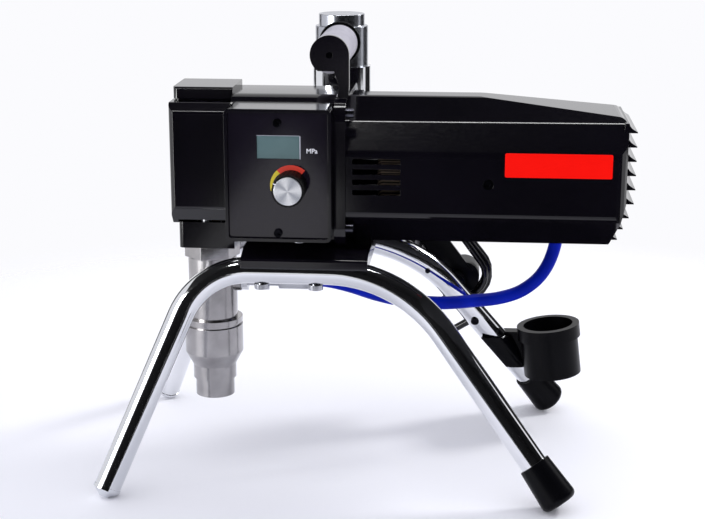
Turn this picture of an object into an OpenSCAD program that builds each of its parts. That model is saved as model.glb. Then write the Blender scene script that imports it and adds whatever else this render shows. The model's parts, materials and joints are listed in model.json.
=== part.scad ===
// Airless paint sprayer: an electric motor drives a reciprocating piston pump
// through a two-stage gear train, on a stand of two bent tubes.
// Millimetres, +Z up, +X towards the rear of the motor, floor at Z = 0.

/* [Stand] */
// Outer diameter of the stand tubes
tube_d = 25.4; // [22:0.2:28]
// Wall of the stand tubes
tube_wall = 2; // [1.2:0.1:3]
// Height of the top run of the tubes, at their centreline
stand_h = 207; // [190:1:230]
// Distance between the two top runs
tube_span = 140; // [136:1:150]
// Distance between the near and far feet, at the floor
foot_span = 294; // [270:1:320]
// Where the front leg and the top run would meet
front_corner_x = -161.5; // [-170:0.5:-155]
// Where the rear leg and the top run would meet
rear_corner_x = 32.5; // [28:0.5:40]
// Lean of the front legs from upright
front_rake = 21; // [15:0.5:25]
// Lean of the rear legs from upright
rear_rake = 36; // [32:0.5:38]
// Bend radius at the front corners
front_bend_r = 70; // [55:1:80]
// Bend radius at the rear corners
rear_bend_r = 140; // [120:1:150]
// Height of the cone plugs in the front legs
plug_h = 10; // [8:0.5:14]
// Radius of the plugs' blunt tip
plug_tip_r = 4.5; // [3:0.5:7]
// Diameter of the rubber feet at the floor
foot_d = 36; // [33:0.5:40]
// Diameter of the rubber feet at their upper rim
foot_rim_d = 30.5; // [29.5:0.5:33]
// Length of the rubber feet
foot_l = 44; // [36:1:50]
// Rubber under the end of the rear legs
foot_floor = 8; // [7:0.5:12]
// Rounded edge at the bottom of the rubber feet
foot_edge_r = 6; // [4:0.5:7]
// Depth of the flat worn where a foot meets the floor
foot_flat = 0.5; // [0.3:0.1:1]

/* [Base] */
// Front end of the base bracket
base_x0 = -120.5; // [-125:0.5:-116]
// Rear end of the base bracket
base_x1 = 0.5; // [-4:0.5:6]
// Width of the base bracket
base_w = 166; // [160:1:176]
// Underside of the base bracket above the tubes' centreline
base_rise = 4; // [2:0.5:8]
// Top of the base bracket above the tubes' centreline
base_top_rise = 21; // [18:0.5:26]
// Diameter of the bolts up through the tubes
base_bolt_d = 8; // [6:1:10]
// Distance between the bolts along a tube
base_bolt_pitch = 52; // [40:1:60]

/* [Drive] */
// Height of the motor axis above the tubes' centreline
axis_rise = 90; // [88:0.5:94]
// Module of the gear teeth
gear_module = 1.5; // [1.4:0.05:1.55]
// Teeth on both pinions
pinion_teeth = 12; // [12]
// Teeth on the wheel that the motor drives
wheel_teeth = 36; // [36]
// Teeth on the crank gear
crank_teeth = 48; // [48]
// Width of the crank gear
crank_gear_w = 18; // [14:0.5:20]
// Width of the layshaft wheel
wheel_w = 16; // [12:0.5:18]
// Half the piston's stroke
crank_throw = 10; // [8:0.5:10.5]
// Diameter of the crank shaft
crank_shaft_d = 15; // [12:0.5:17]
// Diameter of the layshaft
layshaft_d = 10; // [8:0.5:11]
// Diameter of the motor shaft
motor_shaft_d = 12; // [10:0.5:13]

/* [Gear housing and covers] */
// Front face of the handle flange
flange_x0 = -32.5; // [-34:0.5:-31]
// Thickness of the handle flange
flange_t = 11; // [9:0.5:13]
// Half the width of the handle flange
flange_half_w = 72; // [71:0.5:73]
// Length of the gear housing
housing_l = 101; // [98:0.5:104]
// Half the width of the gear housing
housing_half_w = 49; // [48:0.5:49.5]
// Top of the gear housing above the tubes' centreline
housing_top_rise = 164; // [162:0.5:168]
// Wall of the gear housing
housing_wall = 6; // [4:0.5:7]
// Wall at the front of the gear housing
housing_front_wall = 8; // [6:0.5:10]
// Length of the front cover
front_cover_l = 59; // [57:0.5:64]
// Half the width of the front cover
front_cover_half_w = 55; // [53:0.5:58]
// Wall of the front cover
front_cover_wall = 3; // [2:0.5:4]
// Height of the cap on the front cover
top_cap_h = 12.5; // [9:0.5:16]
// Half the width of the cap on the front cover
top_cap_half_w = 31; // [26:0.5:36]

/* [Motor] */
// Length of the motor cover
cover_l = 263; // [258:1:280]
// Half the width of the motor cover
cover_half_w = 70; // [69.5:0.5:71]
// Wall of the motor cover
cover_wall = 3; // [2:0.5:4]
// Reach of the rear louvres past the cover
louvre_reach = 8; // [5:0.5:11]
// Distance between the rear louvres
louvre_pitch = 13.5; // [12.5:0.1:13.8]
// Length of the side vents
vent_l = 45; // [35:1:52]
// Height of a side vent
vent_h = 5.3; // [4:0.1:6.5]
// Diameter of the stator core
stator_d = 112; // [104:1:118]
// Length of the stator core
stator_l = 96; // [80:1:100]
// Diameter of the rotor
rotor_d = 60; // [50:1:64]
// Air gap between the rotor and the stator
air_gap = 0.8; // [0.5:0.1:1.5]
// Diameter of the fan
fan_d = 104; // [90:1:110]

/* [Pump] */
// Distance of the pump axis in front of the gear housing
pump_reach = 28.5; // [27:0.5:30]
// Outer diameter of the pump cylinder
cylinder_d = 48.5; // [46:0.5:52]
// Bore of the pump cylinder
cylinder_bore = 30; // [28:0.5:32]
// Diameter of the threaded neck of the pump cylinder
neck_d = 34; // [33:0.5:36]
// Diameter of the piston rod
rod_d = 18; // [16:0.5:19]
// Diameter of the foot valve's collar
collar_d = 58.5; // [54:0.5:64]
// Diameter of the foot valve's waist
waist_d = 43.3; // [41:0.1:46]
// Diameter of the suction end
suction_d = 39; // [35:0.5:41]
// Bore of the suction end
suction_bore = 26; // [22:0.5:28]
// Diameter of the inlet ball
inlet_ball_d = 20; // [18:0.5:21]
// Lift of the inlet ball
inlet_lift = 4; // [2:0.5:4.5]
// Diameter of the outlet ball
outlet_ball_d = 11; // [10:0.5:11.5]
// Lift of the outlet ball
outlet_lift = 3; // [1.5:0.5:3]
// Size of the pump's lock nut across its flats
lock_nut_af = 48; // [44:0.5:52]

/* [Handle] */
// Diameter of the grip
grip_d = 36; // [32:0.5:36.5]
// Height of the grip's axis above the top of the gear housing
grip_rise = 40; // [38:0.5:46]
// Radius of the round ends of the handle's arms
arm_r = 18.5; // [18.5:0.5:20]
// Thickness of the handle's arms
arm_t = 6; // [5:0.5:8]
// Distance between the middles of the handle's arms
arm_span = 100; // [94:1:106]
// Diameter of the rod through the grip
grip_rod_d = 12; // [10:0.5:16]

/* [Control box] */
// Length of the control box
box_l = 99.5; // [94:0.5:100]
// Depth of the control box
box_depth = 45; // [42:0.5:50]
// Height of the control box
box_h = 125; // [119:0.5:128]
// Wall of the control box
box_wall = 3; // [2.5:0.5:3.5]
// Depth of the panel behind the box's rim
panel_inset = 3.5; // [2:0.5:5]
// Thickness of the panel
panel_t = 2; // [1.5:0.5:3]
// Width of the display window
display_w = 40; // [34:0.5:44]
// Height of the display window
display_h = 21.6; // [18:0.2:24]
// Diameter of the pressure knob
knob_d = 30; // [26:0.5:34]
// Height of the pressure knob
knob_h = 25; // [15:0.5:30]
// Diameter of the metal cap on the knob
knob_cap_d = 26; // [22:0.5:27]
// Diameter of the knob's spindle
spindle_d = 6; // [5:0.5:8]

/* [Filter] */
// Diameter of the filter manifold
manifold_d = 60; // [58:0.5:61]
// Diameter of the filter bowl
bowl_d = 54; // [50:0.5:56]
// Height of the filter bowl
bowl_h = 41; // [36:0.5:46]
// Diameter of the filter cap
filter_cap_d = 47; // [42:0.5:50]
// Height of the filter cap
filter_cap_h = 12; // [9:0.5:15]
// Diameter of the threads on the hose nipples
nipple_d = 13.2; // [12.4:0.1:14]
// Diameter of the prime valve's knob
prime_knob_d = 28; // [24:0.5:30]

/* [Hose and cord] */
// Outer diameter of the fluid hose
hose_d = 13.5; // [12:0.1:14.5]
// Diameter of the power cord
cord_d = 7; // [6:0.1:7.4]
// Loops in the cord's hank
hank_loops = 4; // [4]
// Straight run of the hank
hank_run = 110; // [105:1:125]
// Fold radius of the hank's tightest loop
hank_fold_r = 21; // [21:0.5:24]
// Step of the hank from loop to loop and from layer to layer
hank_step = 8; // [7.8:0.1:9]

/* [Cup] */
// Diameter of the cup's rim
cup_rim_d = 66; // [62:0.5:70]
// Diameter of the cup below its rim
cup_d = 60; // [56:0.5:61]
// Height of the cup
cup_h = 54; // [48:0.5:60]
// Height of the cup's rim band
cup_rim_h = 14; // [8:0.5:18]
// Wall of the cup
cup_wall = 4; // [3:0.5:6]
// Lean of the cup towards the front
cup_lean = 7; // [4:0.5:9]

/* [Hidden] */

$fn = 64;
// Clearance between fixed pieces that fit together
fit = 0.1;
// Radial clearance of a shaft in its bearing
run_fit = 0.05;
// Gap between pieces that move past each other
move_gap = 0.4;
// Points on a rounded corner of an outline
corner_steps = 5;

// Rounded outlines
function unit(v) = v / norm(v);
function turn(a, b) = (b - a + 540) % 360 - 180;
function fillet(a, b, c, r) =
    let (u = unit(a - b), w = unit(c - b), half = acos(u * w) / 2,
         mid = b + unit(u + w) * r / sin(half),
         s = b + u * r / tan(half) - mid,
         e = b + w * r / tan(half) - mid,
         a0 = atan2(s.y, s.x), sweep = turn(a0, atan2(e.y, e.x)))
    [for (i = [0:corner_steps]) let (t = a0 + sweep * i / corner_steps) mid + r * [cos(t), sin(t)]];
function rounded(points, radii) =
    let (n = len(points))
    [for (i = [0:n - 1])
        each radii[i] == 0 ? [points[i]]
            : fillet(points[(i + n - 1) % n], points[i], points[(i + 1) % n], radii[i])];
function mirrored(half) =
    concat(half, [for (i = [len(half) - 1:-1:0]) [-half[i].x, half[i].y]]);
function doubled(radii) = concat(radii, [for (i = [len(radii) - 1:-1:0]) radii[i]]);

// An outline in Y and Z, drawn out along X
module along_x(x0, length) {
    translate([x0, 0, 0]) rotate([90, 0, 90]) linear_extrude(length) children();
}
// An outline in X and Z, drawn out along Y
module along_y(y0, length) {
    translate([0, y0 + length, 0]) rotate([90, 0, 0]) linear_extrude(length) children();
}
module rod_x(x0, x1, y, z, d) {
    translate([x0, y, z]) rotate([0, 90, 0]) cylinder(h = x1 - x0, d = d);
}
module rod_y(y0, y1, x, z, d) {
    translate([x, y0, z]) rotate([-90, 0, 0]) cylinder(h = y1 - y0, d = d);
}
module rod_z(z0, z1, x, y, d) {
    translate([x, y, z0]) cylinder(h = z1 - z0, d = d);
}
module hex_x(x0, x1, y, z, af) {
    translate([x0, y, z]) rotate([0, 90, 0]) cylinder(h = x1 - x0, d = af / cos(30), $fn = 6);
}
module hex_y(y0, y1, x, z, af) {
    translate([x, y0, z]) rotate([-90, 0, 0]) cylinder(h = y1 - y0, d = af / cos(30), $fn = 6);
}
module block(x0, x1, y0, y1, z0, z1) {
    translate([x0, y0, z0]) cube([x1 - x0, y1 - y0, z1 - z0]);
}
module both_sides() {
    children();
    mirror([0, 1, 0]) children();
}

// Stand
foot_y = foot_span / 2;
tube_y = tube_span / 2;
tilt = atan((foot_y - tube_y) / stand_h);
run_h = stand_h / cos(tilt);
front_turn = 90 - front_rake;
rear_turn = 90 - rear_rake;
front_tangent = front_bend_r * tan(front_turn / 2);
rear_tangent = rear_bend_r * tan(rear_turn / 2);
run_x0 = front_corner_x + front_tangent;
run_x1 = rear_corner_x - rear_tangent;
front_cos = cos(front_rake) * cos(tilt);
rear_cos = cos(rear_rake) * cos(tilt);
front_end_z = plug_h * front_cos + plug_tip_r * sqrt(1 - front_cos * front_cos) - foot_flat;
rear_end_z = (foot_floor - foot_edge_r) * rear_cos
    + (foot_d / 2 - foot_edge_r) * sqrt(1 - rear_cos * rear_cos) + foot_edge_r - foot_flat;
front_end_h = front_end_z / cos(tilt);
rear_end_h = rear_end_z / cos(tilt);
front_end_x = front_corner_x - (run_h - front_end_h) * tan(front_rake);
rear_end_x = rear_corner_x + (run_h - rear_end_h) * tan(rear_rake);
front_leg_l = (run_h - front_end_h) / cos(front_rake) - front_tangent;
rear_leg_l = (run_h - rear_end_h) / cos(rear_rake) - rear_tangent;

// The sloping plane of the near tube, its foot line on the floor
module near_plane() {
    translate([0, -foot_y, 0]) rotate([-tilt, 0, 0]) children();
}
module front_leg_end() {
    translate([front_end_x, 0, front_end_h]) rotate([0, front_rake, 0]) children();
}
module rear_leg_end() {
    translate([rear_end_x, 0, rear_end_h]) rotate([0, -rear_rake, 0]) children();
}
// A solid bar along the near tube's path, its legs reaching past their ends
tube_sides = 32;
module tube_section(d) {
    polygon([for (i = [0:tube_sides - 1]) d / 2 * [cos(360 * i / tube_sides), sin(360 * i / tube_sides)]]);
}
module stand_path(d, past) {
    near_plane() {
        front_leg_end() translate([0, 0, -past]) linear_extrude(front_leg_l + past) tube_section(d);
        rear_leg_end() translate([0, 0, -past]) linear_extrude(rear_leg_l + past) tube_section(d);
        translate([run_x0, 0, run_h]) rotate([0, 90, 0])
            linear_extrude(run_x1 - run_x0) tube_section(d);
        translate([run_x0, 0, run_h - front_bend_r]) rotate([90, 0, 0]) rotate(90)
            rotate_extrude(angle = front_turn) translate([front_bend_r, 0]) tube_section(d);
        translate([run_x1, 0, run_h - rear_bend_r]) rotate([90, 0, 0]) rotate(90 - rear_turn)
            rotate_extrude(angle = rear_turn) translate([rear_bend_r, 0]) tube_section(d);
    }
}
base_bolt_x = (run_x0 + run_x1) / 2;
base_bolt_places = [for (side = [-1, 1], end = [-1, 1])
    [base_bolt_x + end * base_bolt_pitch / 2, side * tube_y]];
base_z0 = stand_h + base_rise;
base_z1 = stand_h + base_top_rise;
bolt_head_h = 5;
bolt_head_d = base_bolt_d + 6;
bolt_bite = 14;

module bolt_holes(d) {
    for (p = base_bolt_places)
        rod_z(stand_h - tube_d, base_z0 + bolt_bite, p.x, p.y, d);
}
module stand_tube() {
    difference() {
        stand_path(tube_d, 0);
        stand_path(tube_d - 2 * tube_wall, 1);
        bolt_holes(base_bolt_d + 2 * fit);
    }
}
module stand_tube_near() { color("gainsboro") stand_tube(); }
module stand_tube_far() {
    color("gainsboro") difference() {
        mirror([0, 1, 0]) stand_tube();
        on_far_leg() for (z = guide_screw_places) rod_y(0, tube_d, 0, z, guide_screw_d + 2 * fit);
    }
}

module floor_cut() { translate([-500, -500, -100]) cube([1000, 1000, 100]); }
plug_rim_h = 3;
plug_spigot_h = 12;
module front_leg_plugs() {
    color("silver") both_sides() difference() {
        near_plane() front_leg_end() rotate_extrude() polygon([
            [0, plug_spigot_h], [tube_d / 2 - tube_wall - fit, plug_spigot_h],
            [tube_d / 2 - tube_wall - fit, 0], [tube_d / 2 + 0.5, 0],
            [tube_d / 2 + 0.5, -plug_rim_h], [plug_tip_r, -plug_h], [0, -plug_h]]);
        floor_cut();
    }
}
module rear_foot_tips() {
    wall_r = tube_d / 2 + fit;
    edge = fillet([0, -foot_floor], [foot_d / 2, -foot_floor],
                  [foot_rim_d / 2, foot_l - foot_floor], foot_edge_r);
    color("#15151a") both_sides() difference() {
        near_plane() rear_leg_end() rotate_extrude() polygon(concat(
            [[0, -foot_floor]], edge,
            [[foot_rim_d / 2, foot_l - foot_floor], [wall_r, foot_l - foot_floor],
             [wall_r, -fit], [0, -fit]]));
        floor_cut();
    }
}

// Base bracket
base_edge_z = stand_h + 14;
module base_bracket() {
    half = base_w / 2;
    outline = mirrored([[half - 20, base_z1], [half, base_edge_z], [half, base_z0]]);
    color("#121217") difference() {
        along_x(base_x0, base_x1 - base_x0)
            polygon(rounded(outline, doubled([4, 3, 2])));
        both_sides() stand_path(tube_d + 2 * fit, 0);
        bolt_holes(base_bolt_d + 2 * fit);
    }
}
module base_bolts() {
    head_z = stand_h - tube_d / 2 - bolt_head_h - fit;
    for (p = base_bolt_places) {
        rod_z(head_z, head_z + bolt_head_h, p.x, p.y, bolt_head_d);
        rod_z(head_z, base_z0 + bolt_bite - 1, p.x, p.y, base_bolt_d);
    }
}

// Drive axes
motor_z = stand_h + axis_rise;
layshaft_z = motor_z + gear_module * (pinion_teeth + wheel_teeth) / 2;
crank_z = layshaft_z - gear_module * (pinion_teeth + crank_teeth) / 2;
flange_x1 = flange_x0 + flange_t;
housing_x0 = flange_x0 - housing_l;
housing_z0 = base_z1;
housing_z1 = stand_h + housing_top_rise;
pump_x = housing_x0 - pump_reach;

// Gear housing
bearing_d = 35;
bearing_w = 11;
crank_boss_l = 2 * bearing_w + 4;
crank_boss_x1 = housing_x0 + crank_boss_l;
bush_d = layshaft_d + 8;
bush_l = 7;
function housing_outline(inset) =
    let (half = housing_half_w - inset, top = housing_z1 - inset, low = housing_z0 + inset)
    rounded([[-half, low], [half, low], [half, top], [-half, top]], [6, 6, 22 - inset, 22 - inset]);
module gear_housing() {
    cavity_x0 = housing_x0 + housing_front_wall;
    color("#17171c") difference() {
        union() {
            difference() {
                along_x(housing_x0, housing_l) polygon(housing_outline(0));
                along_x(cavity_x0, housing_l) polygon(housing_outline(housing_wall));
            }
            rod_x(housing_x0, crank_boss_x1, 0, crank_z, bearing_d + 12);
        }
        rod_x(housing_x0 - 1, crank_boss_x1 + 1, 0, crank_z, bearing_d + 2 * fit);
        rod_x(housing_x0 + 1, cavity_x0 + 1, 0, layshaft_z, bush_d + 2 * fit);
        for (y = block_screw_y) rod_x(housing_x0 - 1, housing_x0 + block_screw_bite + 1, y,
                                      block_screw_z, block_screw_d + 2 * fit);
    }
}

// Front cover, cap and pump block
front_x0 = housing_x0 - front_cover_l;
block_z0 = stand_h + 12;
block_z1 = stand_h + 38;
front_z1 = stand_h + 157;
front_bevel_z = block_z1 + 18;
front_crease_z = front_z1 - 8;
front_edge_r = 7;
block_x0 = front_x0 + 4;
block_half_w = 36.5;
block_screw_d = 8;
block_screw_y = [-24, 24];
block_screw_bite = 14;
block_screw_z = housing_z0 + 6;

function front_outline(inset) =
    let (half = front_cover_half_w - inset)
    rounded(mirrored([[half - 15, block_z1 + inset], [half, front_bevel_z],
                      [half, front_crease_z], [half - 9, front_z1 - inset]]),
            doubled([3, 5, 4, 3]));
module front_plan(inset, depth) {
    half = front_cover_half_w + 5 - inset;
    cut = 10;
    x0 = front_x0 + inset;
    linear_extrude(depth) polygon(rounded(
        [[x0, -half + cut], [x0 + cut, -half], [housing_x0 + 1, -half],
         [housing_x0 + 1, half], [x0 + cut, half], [x0, half - cut]],
        [front_edge_r, front_edge_r, 0, 0, front_edge_r, front_edge_r]));
}
module front_form(inset, x1) {
    intersection() {
        along_x(front_x0 - 1, x1 - front_x0 + 1) polygon(front_outline(inset));
        translate([0, 0, block_z0]) front_plan(inset, front_z1);
    }
}
rod_window = 50;
module front_cover() {
    color("#101015") difference() {
        front_form(0, housing_x0);
        front_form(front_cover_wall, housing_x0 + 1);
        block(pump_x - rod_window / 2, housing_x0 + 1, -block_half_w - 8, block_half_w + 8,
              block_z1 - 1, block_z1 + front_cover_wall + 1);
    }
}
module front_top_cap() {
    x0 = front_x0 + 1;
    plan = rounded([[x0, -top_cap_half_w], [housing_x0, -top_cap_half_w],
                    [housing_x0, top_cap_half_w], [x0, top_cap_half_w]], [5, 1, 1, 5]);
    profile = rounded(mirrored([[top_cap_half_w, front_z1 + 1.2], [top_cap_half_w, front_z1 + top_cap_h - 2],
                                [top_cap_half_w - 2, front_z1 + top_cap_h]]), doubled([0, 1, 1]));
    seam = 1.2;
    color("#17171d") {
        translate([0, 0, front_z1]) linear_extrude(seam)
            polygon([for (p = plan) [p.x < x0 + 8 ? p.x + seam : p.x, p.y * (1 - seam / top_cap_half_w)]]);
        intersection() {
            along_x(x0, housing_x0 - x0) polygon(profile);
            translate([0, 0, front_z1]) linear_extrude(2 * top_cap_h) polygon(plan);
        }
    }
}
module pump_block() {
    color("#15151a") difference() {
        translate([0, 0, block_z0]) linear_extrude(block_z1 - block_z0) polygon(rounded(
            [[block_x0, -block_half_w], [housing_x0, -block_half_w],
             [housing_x0, block_half_w], [block_x0, block_half_w]], [6, 1, 1, 6]));
        rod_z(block_z0 - 1, block_z1 + 1, pump_x, 0, neck_d + 2 * fit);
        for (y = block_screw_y) {
            rod_x(block_x0 - 1, housing_x0 + 1, y, block_screw_z, block_screw_d + 2 * fit);
            rod_x(block_x0 - 1, block_x0 + block_screw_d, y, block_screw_z, block_screw_d + 6);
        }
        for (side = [-1, 1])
            rod_z(block_z1 - guide_sink, block_z1 + 1, pump_x, side * guide_y, guide_d + 2 * fit);
    }
}
module pump_block_screws() {
    for (y = block_screw_y) difference() {
        union() {
            rod_x(block_x0, block_x0 + block_screw_d - fit, y, block_screw_z, block_screw_d + 5);
            rod_x(block_x0, housing_x0 + block_screw_bite, y, block_screw_z, block_screw_d);
        }
        hex_x(block_x0 - 1, block_x0 + 4, y, block_screw_z, 6);
    }
}
module frame_bolts() {
    color("dimgray") {
        base_bolts();
        pump_block_screws();
    }
}

// Handle
grip_z = housing_z1 + grip_rise;
grip_x = flange_x0 - 5.5;
arm_y = arm_span / 2;
arm_flat_z = grip_z - 15;
post_x1 = grip_x + arm_r;
flange_bolt_d = 6;
flange_bolt_head_d = 9.5;
flange_head_l = 7;
flange_bolt_places = [for (side = [-1, 1], p = [[flange_half_w - 12, motor_z + 61], [flange_half_w - 5.5, motor_z - 48]])
    [side * p.x, p.y]];
rod_screw_d = 6;
motor_bearing_d = 32;
motor_bearing_w = 9;
tie_rod_d = 6;
tie_rod_r = stator_d / 2 - 5;
tie_rod_places = [for (a = [40, 140, 220, 320]) [tie_rod_r * cos(a), motor_z + tie_rod_r * sin(a)]];
tie_rod_bite = 6;

// The near arm: a disc with a flat below, on a neck that narrows towards the flange
arm_root = 4;
neck_x = grip_x + 9;
neck_z = housing_z1 + 10;
module arm_outline() {
    difference() {
        translate([grip_x, grip_z]) circle(r = arm_r);
        translate([grip_x - 2 * arm_r, arm_flat_z - 2 * arm_r]) square([4 * arm_r, 2 * arm_r]);
    }
    polygon([[grip_x + arm_root, arm_flat_z + 1], [neck_x, neck_z], [flange_x0, housing_z1 - 12],
             [flange_x1, housing_z1 - 12], [post_x1, neck_z], [post_x1, grip_z], [grip_x, grip_z]]);
}
module handle_frame() {
    outline = rounded([[-flange_half_w, housing_z0], [flange_half_w, housing_z0],
                       [flange_half_w, housing_z1], [-flange_half_w, housing_z1]], [22, 22, 20, 20]);
    color("#101014") difference() {
        union() {
            along_x(flange_x0, flange_t) polygon(outline);
            along_y(-arm_y - arm_t / 2, arm_t) arm_outline();
            rod_y(arm_y - arm_t / 2, arm_y + arm_t / 2, grip_x, grip_z, 2 * arm_r);
        }
        for (side = [-1, 1])
            rod_y(side * arm_y - arm_t, side * arm_y + arm_t, grip_x, grip_z, rod_screw_d + 2 * fit);
        for (p = flange_bolt_places)
            rod_x(flange_x0 - 1, flange_x1 + 1, p.x, p.y, flange_bolt_d + 2 * fit);
        rod_x(flange_x1 - motor_bearing_w, flange_x1 + 1, 0, motor_z, motor_bearing_d + 2 * fit);
        rod_x(flange_x0 - 1, flange_x1, 0, motor_z, motor_shaft_d + 8);
        rod_x(flange_x0 - 1, flange_x0 + bush_l + fit, 0, layshaft_z, bush_d + 2 * fit);
        for (p = tie_rod_places)
            rod_x(flange_x1 - tie_rod_bite, flange_x1 + 1, p.x, p.y, tie_rod_d + 2 * fit);
    }
}
grip_y = arm_y - arm_t / 2 - fit;
grip_rib_pitch = 4;
grip_groove = 1.2;
module handle_grip() {
    ribs = floor((2 * grip_y - 12) / grip_rib_pitch);
    color("#b9b6c0") difference() {
        rod_y(-grip_y, grip_y, grip_x, grip_z, grip_d);
        rod_y(-grip_y - 1, grip_y + 1, grip_x, grip_z, grip_rod_d + 2 * fit);
        for (i = [0:ribs - 1]) let (y = (i - (ribs - 1) / 2) * grip_rib_pitch)
            difference() {
                rod_y(y - grip_groove / 2, y + grip_groove / 2, grip_x, grip_z, grip_d + 1);
                rod_y(y - grip_groove, y + grip_groove, grip_x, grip_z, grip_d - 2 * grip_groove);
            }
    }
}
module grip_rod() {
    color("silver") {
        rod_y(-grip_y, grip_y, grip_x, grip_z, grip_rod_d);
        rod_y(-arm_y - arm_t / 2, arm_y + arm_t / 2, grip_x, grip_z, rod_screw_d);
    }
}
flange_bolt_l = 17;
module flange_bolts() {
    color("#202025") for (p = flange_bolt_places) difference() {
        union() {
            rod_x(flange_x1, flange_x1 + flange_head_l, p.x, p.y, flange_bolt_head_d);
            rod_x(flange_x1 - flange_bolt_l, flange_x1 + flange_head_l, p.x, p.y, flange_bolt_d);
        }
        hex_x(flange_x1 + 3, flange_x1 + flange_head_l + 1, p.x, p.y, 5);
    }
}

// Motor cover
cover_x0 = flange_x1;
cover_x1 = cover_x0 + cover_l;
cover_side_z0 = motor_z - 36;
cover_side_z1 = motor_z + 25;
cover_top_z = motor_z + 71.5;
cover_low_z = motor_z - 67;
cover_low_half_w = 36;
slope_x = cover_x0 + 119;
slope_drop = 15;
tail_z = motor_z - 20;
tail_cut = 14;

function cover_outline(inset) =
    let (half = cover_half_w - inset)
    rounded(mirrored([[cover_low_half_w, cover_low_z + inset], [half, cover_side_z0], [half, cover_side_z1],
                      [46 - inset / 2, motor_z + 52 - inset / 2], [14, cover_top_z - inset]]),
            doubled([14, 10, 10, 12, 10]));
module cover_side(inset) {
    x1 = cover_x1 - inset;
    top = cover_top_z - inset;
    polygon(rounded(
        [[cover_x0 - 1, cover_low_z - 5], [cover_x0 - 1, top + 0.5], [slope_x, top + 0.5],
         [x1, top - slope_drop], [x1, tail_z], [x1 - tail_cut, cover_low_z + inset / 2],
         [x1 - tail_cut - 1, cover_low_z - 5]], [0, 0, 0, 9, 14, 0, 0]));
}
module cover_plan(inset) {
    half = cover_half_w + 1 - inset;
    x1 = cover_x1 - inset;
    polygon(rounded([[cover_x0 - 1, -half], [x1, -half], [x1, half], [cover_x0 - 1, half]],
                    [0, 16, 16, 0]));
}
module cover_form(inset) {
    intersection() {
        along_x(cover_x0 - (inset > 0 ? 1 : 0), cover_l + 2) polygon(cover_outline(inset));
        along_y(-cover_half_w - 2, 2 * cover_half_w + 4) cover_side(inset);
        translate([0, 0, cover_low_z - 5]) linear_extrude(cover_top_z - cover_low_z + 10) cover_plan(inset);
    }
}
louvre_count = 9;
louvre_z0 = cover_top_z - 27;
louvre_sink = 4;
louvre_half_w = 52;
function louvre_z(i) = louvre_z0 - i * louvre_pitch;
// The cover's rear face at a height: upright, then drawn in below the tail line
function tail_x(z) = z > tail_z ? cover_x1
    : cover_x1 - tail_cut * (tail_z - z) / (tail_z - cover_low_z);
function louvre_half(i) = min(louvre_half_w, 24 + (louvre_z(i) - cover_low_z) * 0.95,
                              24 + (cover_top_z - louvre_z(i)) * 1.1);
louvre_fin_h = 9;
module louvre(i) {
    z = louvre_z(i);
    x = tail_x(z);
    top_x = tail_x(z + louvre_fin_h) - louvre_sink;
    curve = [for (k = [0:4]) let (t = k / 4)
        [x + louvre_reach - louvre_reach * (1 - pow(1 - t, 2)), z + 1 + (louvre_fin_h - 1) * t]];
    along_y(-louvre_half(i), 2 * louvre_half(i))
        polygon(concat([[x - louvre_sink, z], [x + louvre_reach, z]], curve,
                       [[top_x, z + louvre_fin_h]]));
}
vent_x0 = cover_x0 + 6.5;
vent_pitch = 9.8;
vent_z0 = motor_z + 17;
cover_screw_x = cover_x0 + 133.5;
cover_screw_z = motor_z - 3;
cover_screw_d = 5;
module cover_screw_rods(d, y0, y1) {
    both_sides() rod_y(y0, y1, cover_screw_x, cover_screw_z, d);
}
module motor_cover() {
    slot = 5;
    color("#0c0c11") difference() {
        union() {
            difference() {
                cover_form(0);
                cover_form(cover_wall);
            }
            for (i = [0:louvre_count - 1]) louvre(i);
        }
        for (i = [0:louvre_count - 2]) let (z = louvre_z(i) - slot / 2 - 0.5, half = louvre_half(i + 1) - 6)
            block(tail_x(z) - 12, tail_x(z) + 3, -half, half, z - slot / 2, z + slot / 2);
        both_sides() for (i = [0:3]) let (z = vent_z0 - i * vent_pitch)
            block(vent_x0, vent_x0 + vent_l, -cover_half_w - 1, -cover_half_w + cover_wall + 1,
                  z - vent_h / 2, z + vent_h / 2);
        cover_screw_rods(cover_screw_d + 2 * fit, -cover_half_w - 1, -stator_d / 2);
        cover_screw_rods(10, -cover_half_w - 1, -cover_half_w + 1.5);
        for (p = flange_bolt_places)
            rod_x(flange_x1 - 1, flange_x1 + flange_head_l + move_gap, p.x, p.y,
                  flange_bolt_head_d + 2 * move_gap);
    }
}
module cover_screws() {
    both_sides() difference() {
        union() {
            rod_y(-cover_half_w + 0.2, -cover_half_w + 1.5, cover_screw_x, cover_screw_z, 9);
            rod_y(-cover_half_w + 1, -stator_d / 2 + 4, cover_screw_x, cover_screw_z, cover_screw_d);
        }
        hex_y(-cover_half_w - 1, -cover_half_w + 1.2, cover_screw_x, cover_screw_z, 4);
    }
}

// Motor
winding_l = 34;
stator_x0 = flange_x1 + winding_l + 28;
stator_x1 = stator_x0 + stator_l;
bell_x0 = stator_x1 + winding_l + 4;
bell_t = 14;
bell_x1 = bell_x0 + bell_t;
stator_bore = rotor_d + 2 * air_gap;
module motor_stator() {
    color("slategray") difference() {
        union() {
            rod_x(stator_x0, stator_x1, 0, motor_z, stator_d);
            for (p = tie_rod_places)
                rod_x(flange_x1 - tie_rod_bite + 1, bell_x1 + 4, p.x, p.y, tie_rod_d);
        }
        rod_x(stator_x0 - 1, stator_x1 + 1, 0, motor_z, stator_bore);
        cover_screw_rods(cover_screw_d + 2 * fit, -stator_d / 2 - 1, -stator_d / 2 + 6);
    }
}
module motor_windings() {
    inner = stator_bore / 2 + 2;
    outer = tie_rod_r - tie_rod_d / 2 - 2;
    color("peru") for (x = [stator_x0 - winding_l, stator_x1])
        translate([x, 0, motor_z]) rotate([0, 90, 0]) rotate_extrude()
            polygon(rounded([[inner, 0], [outer, 0], [outer, winding_l], [inner, winding_l]], [6, 6, 6, 6]));
}
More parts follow.
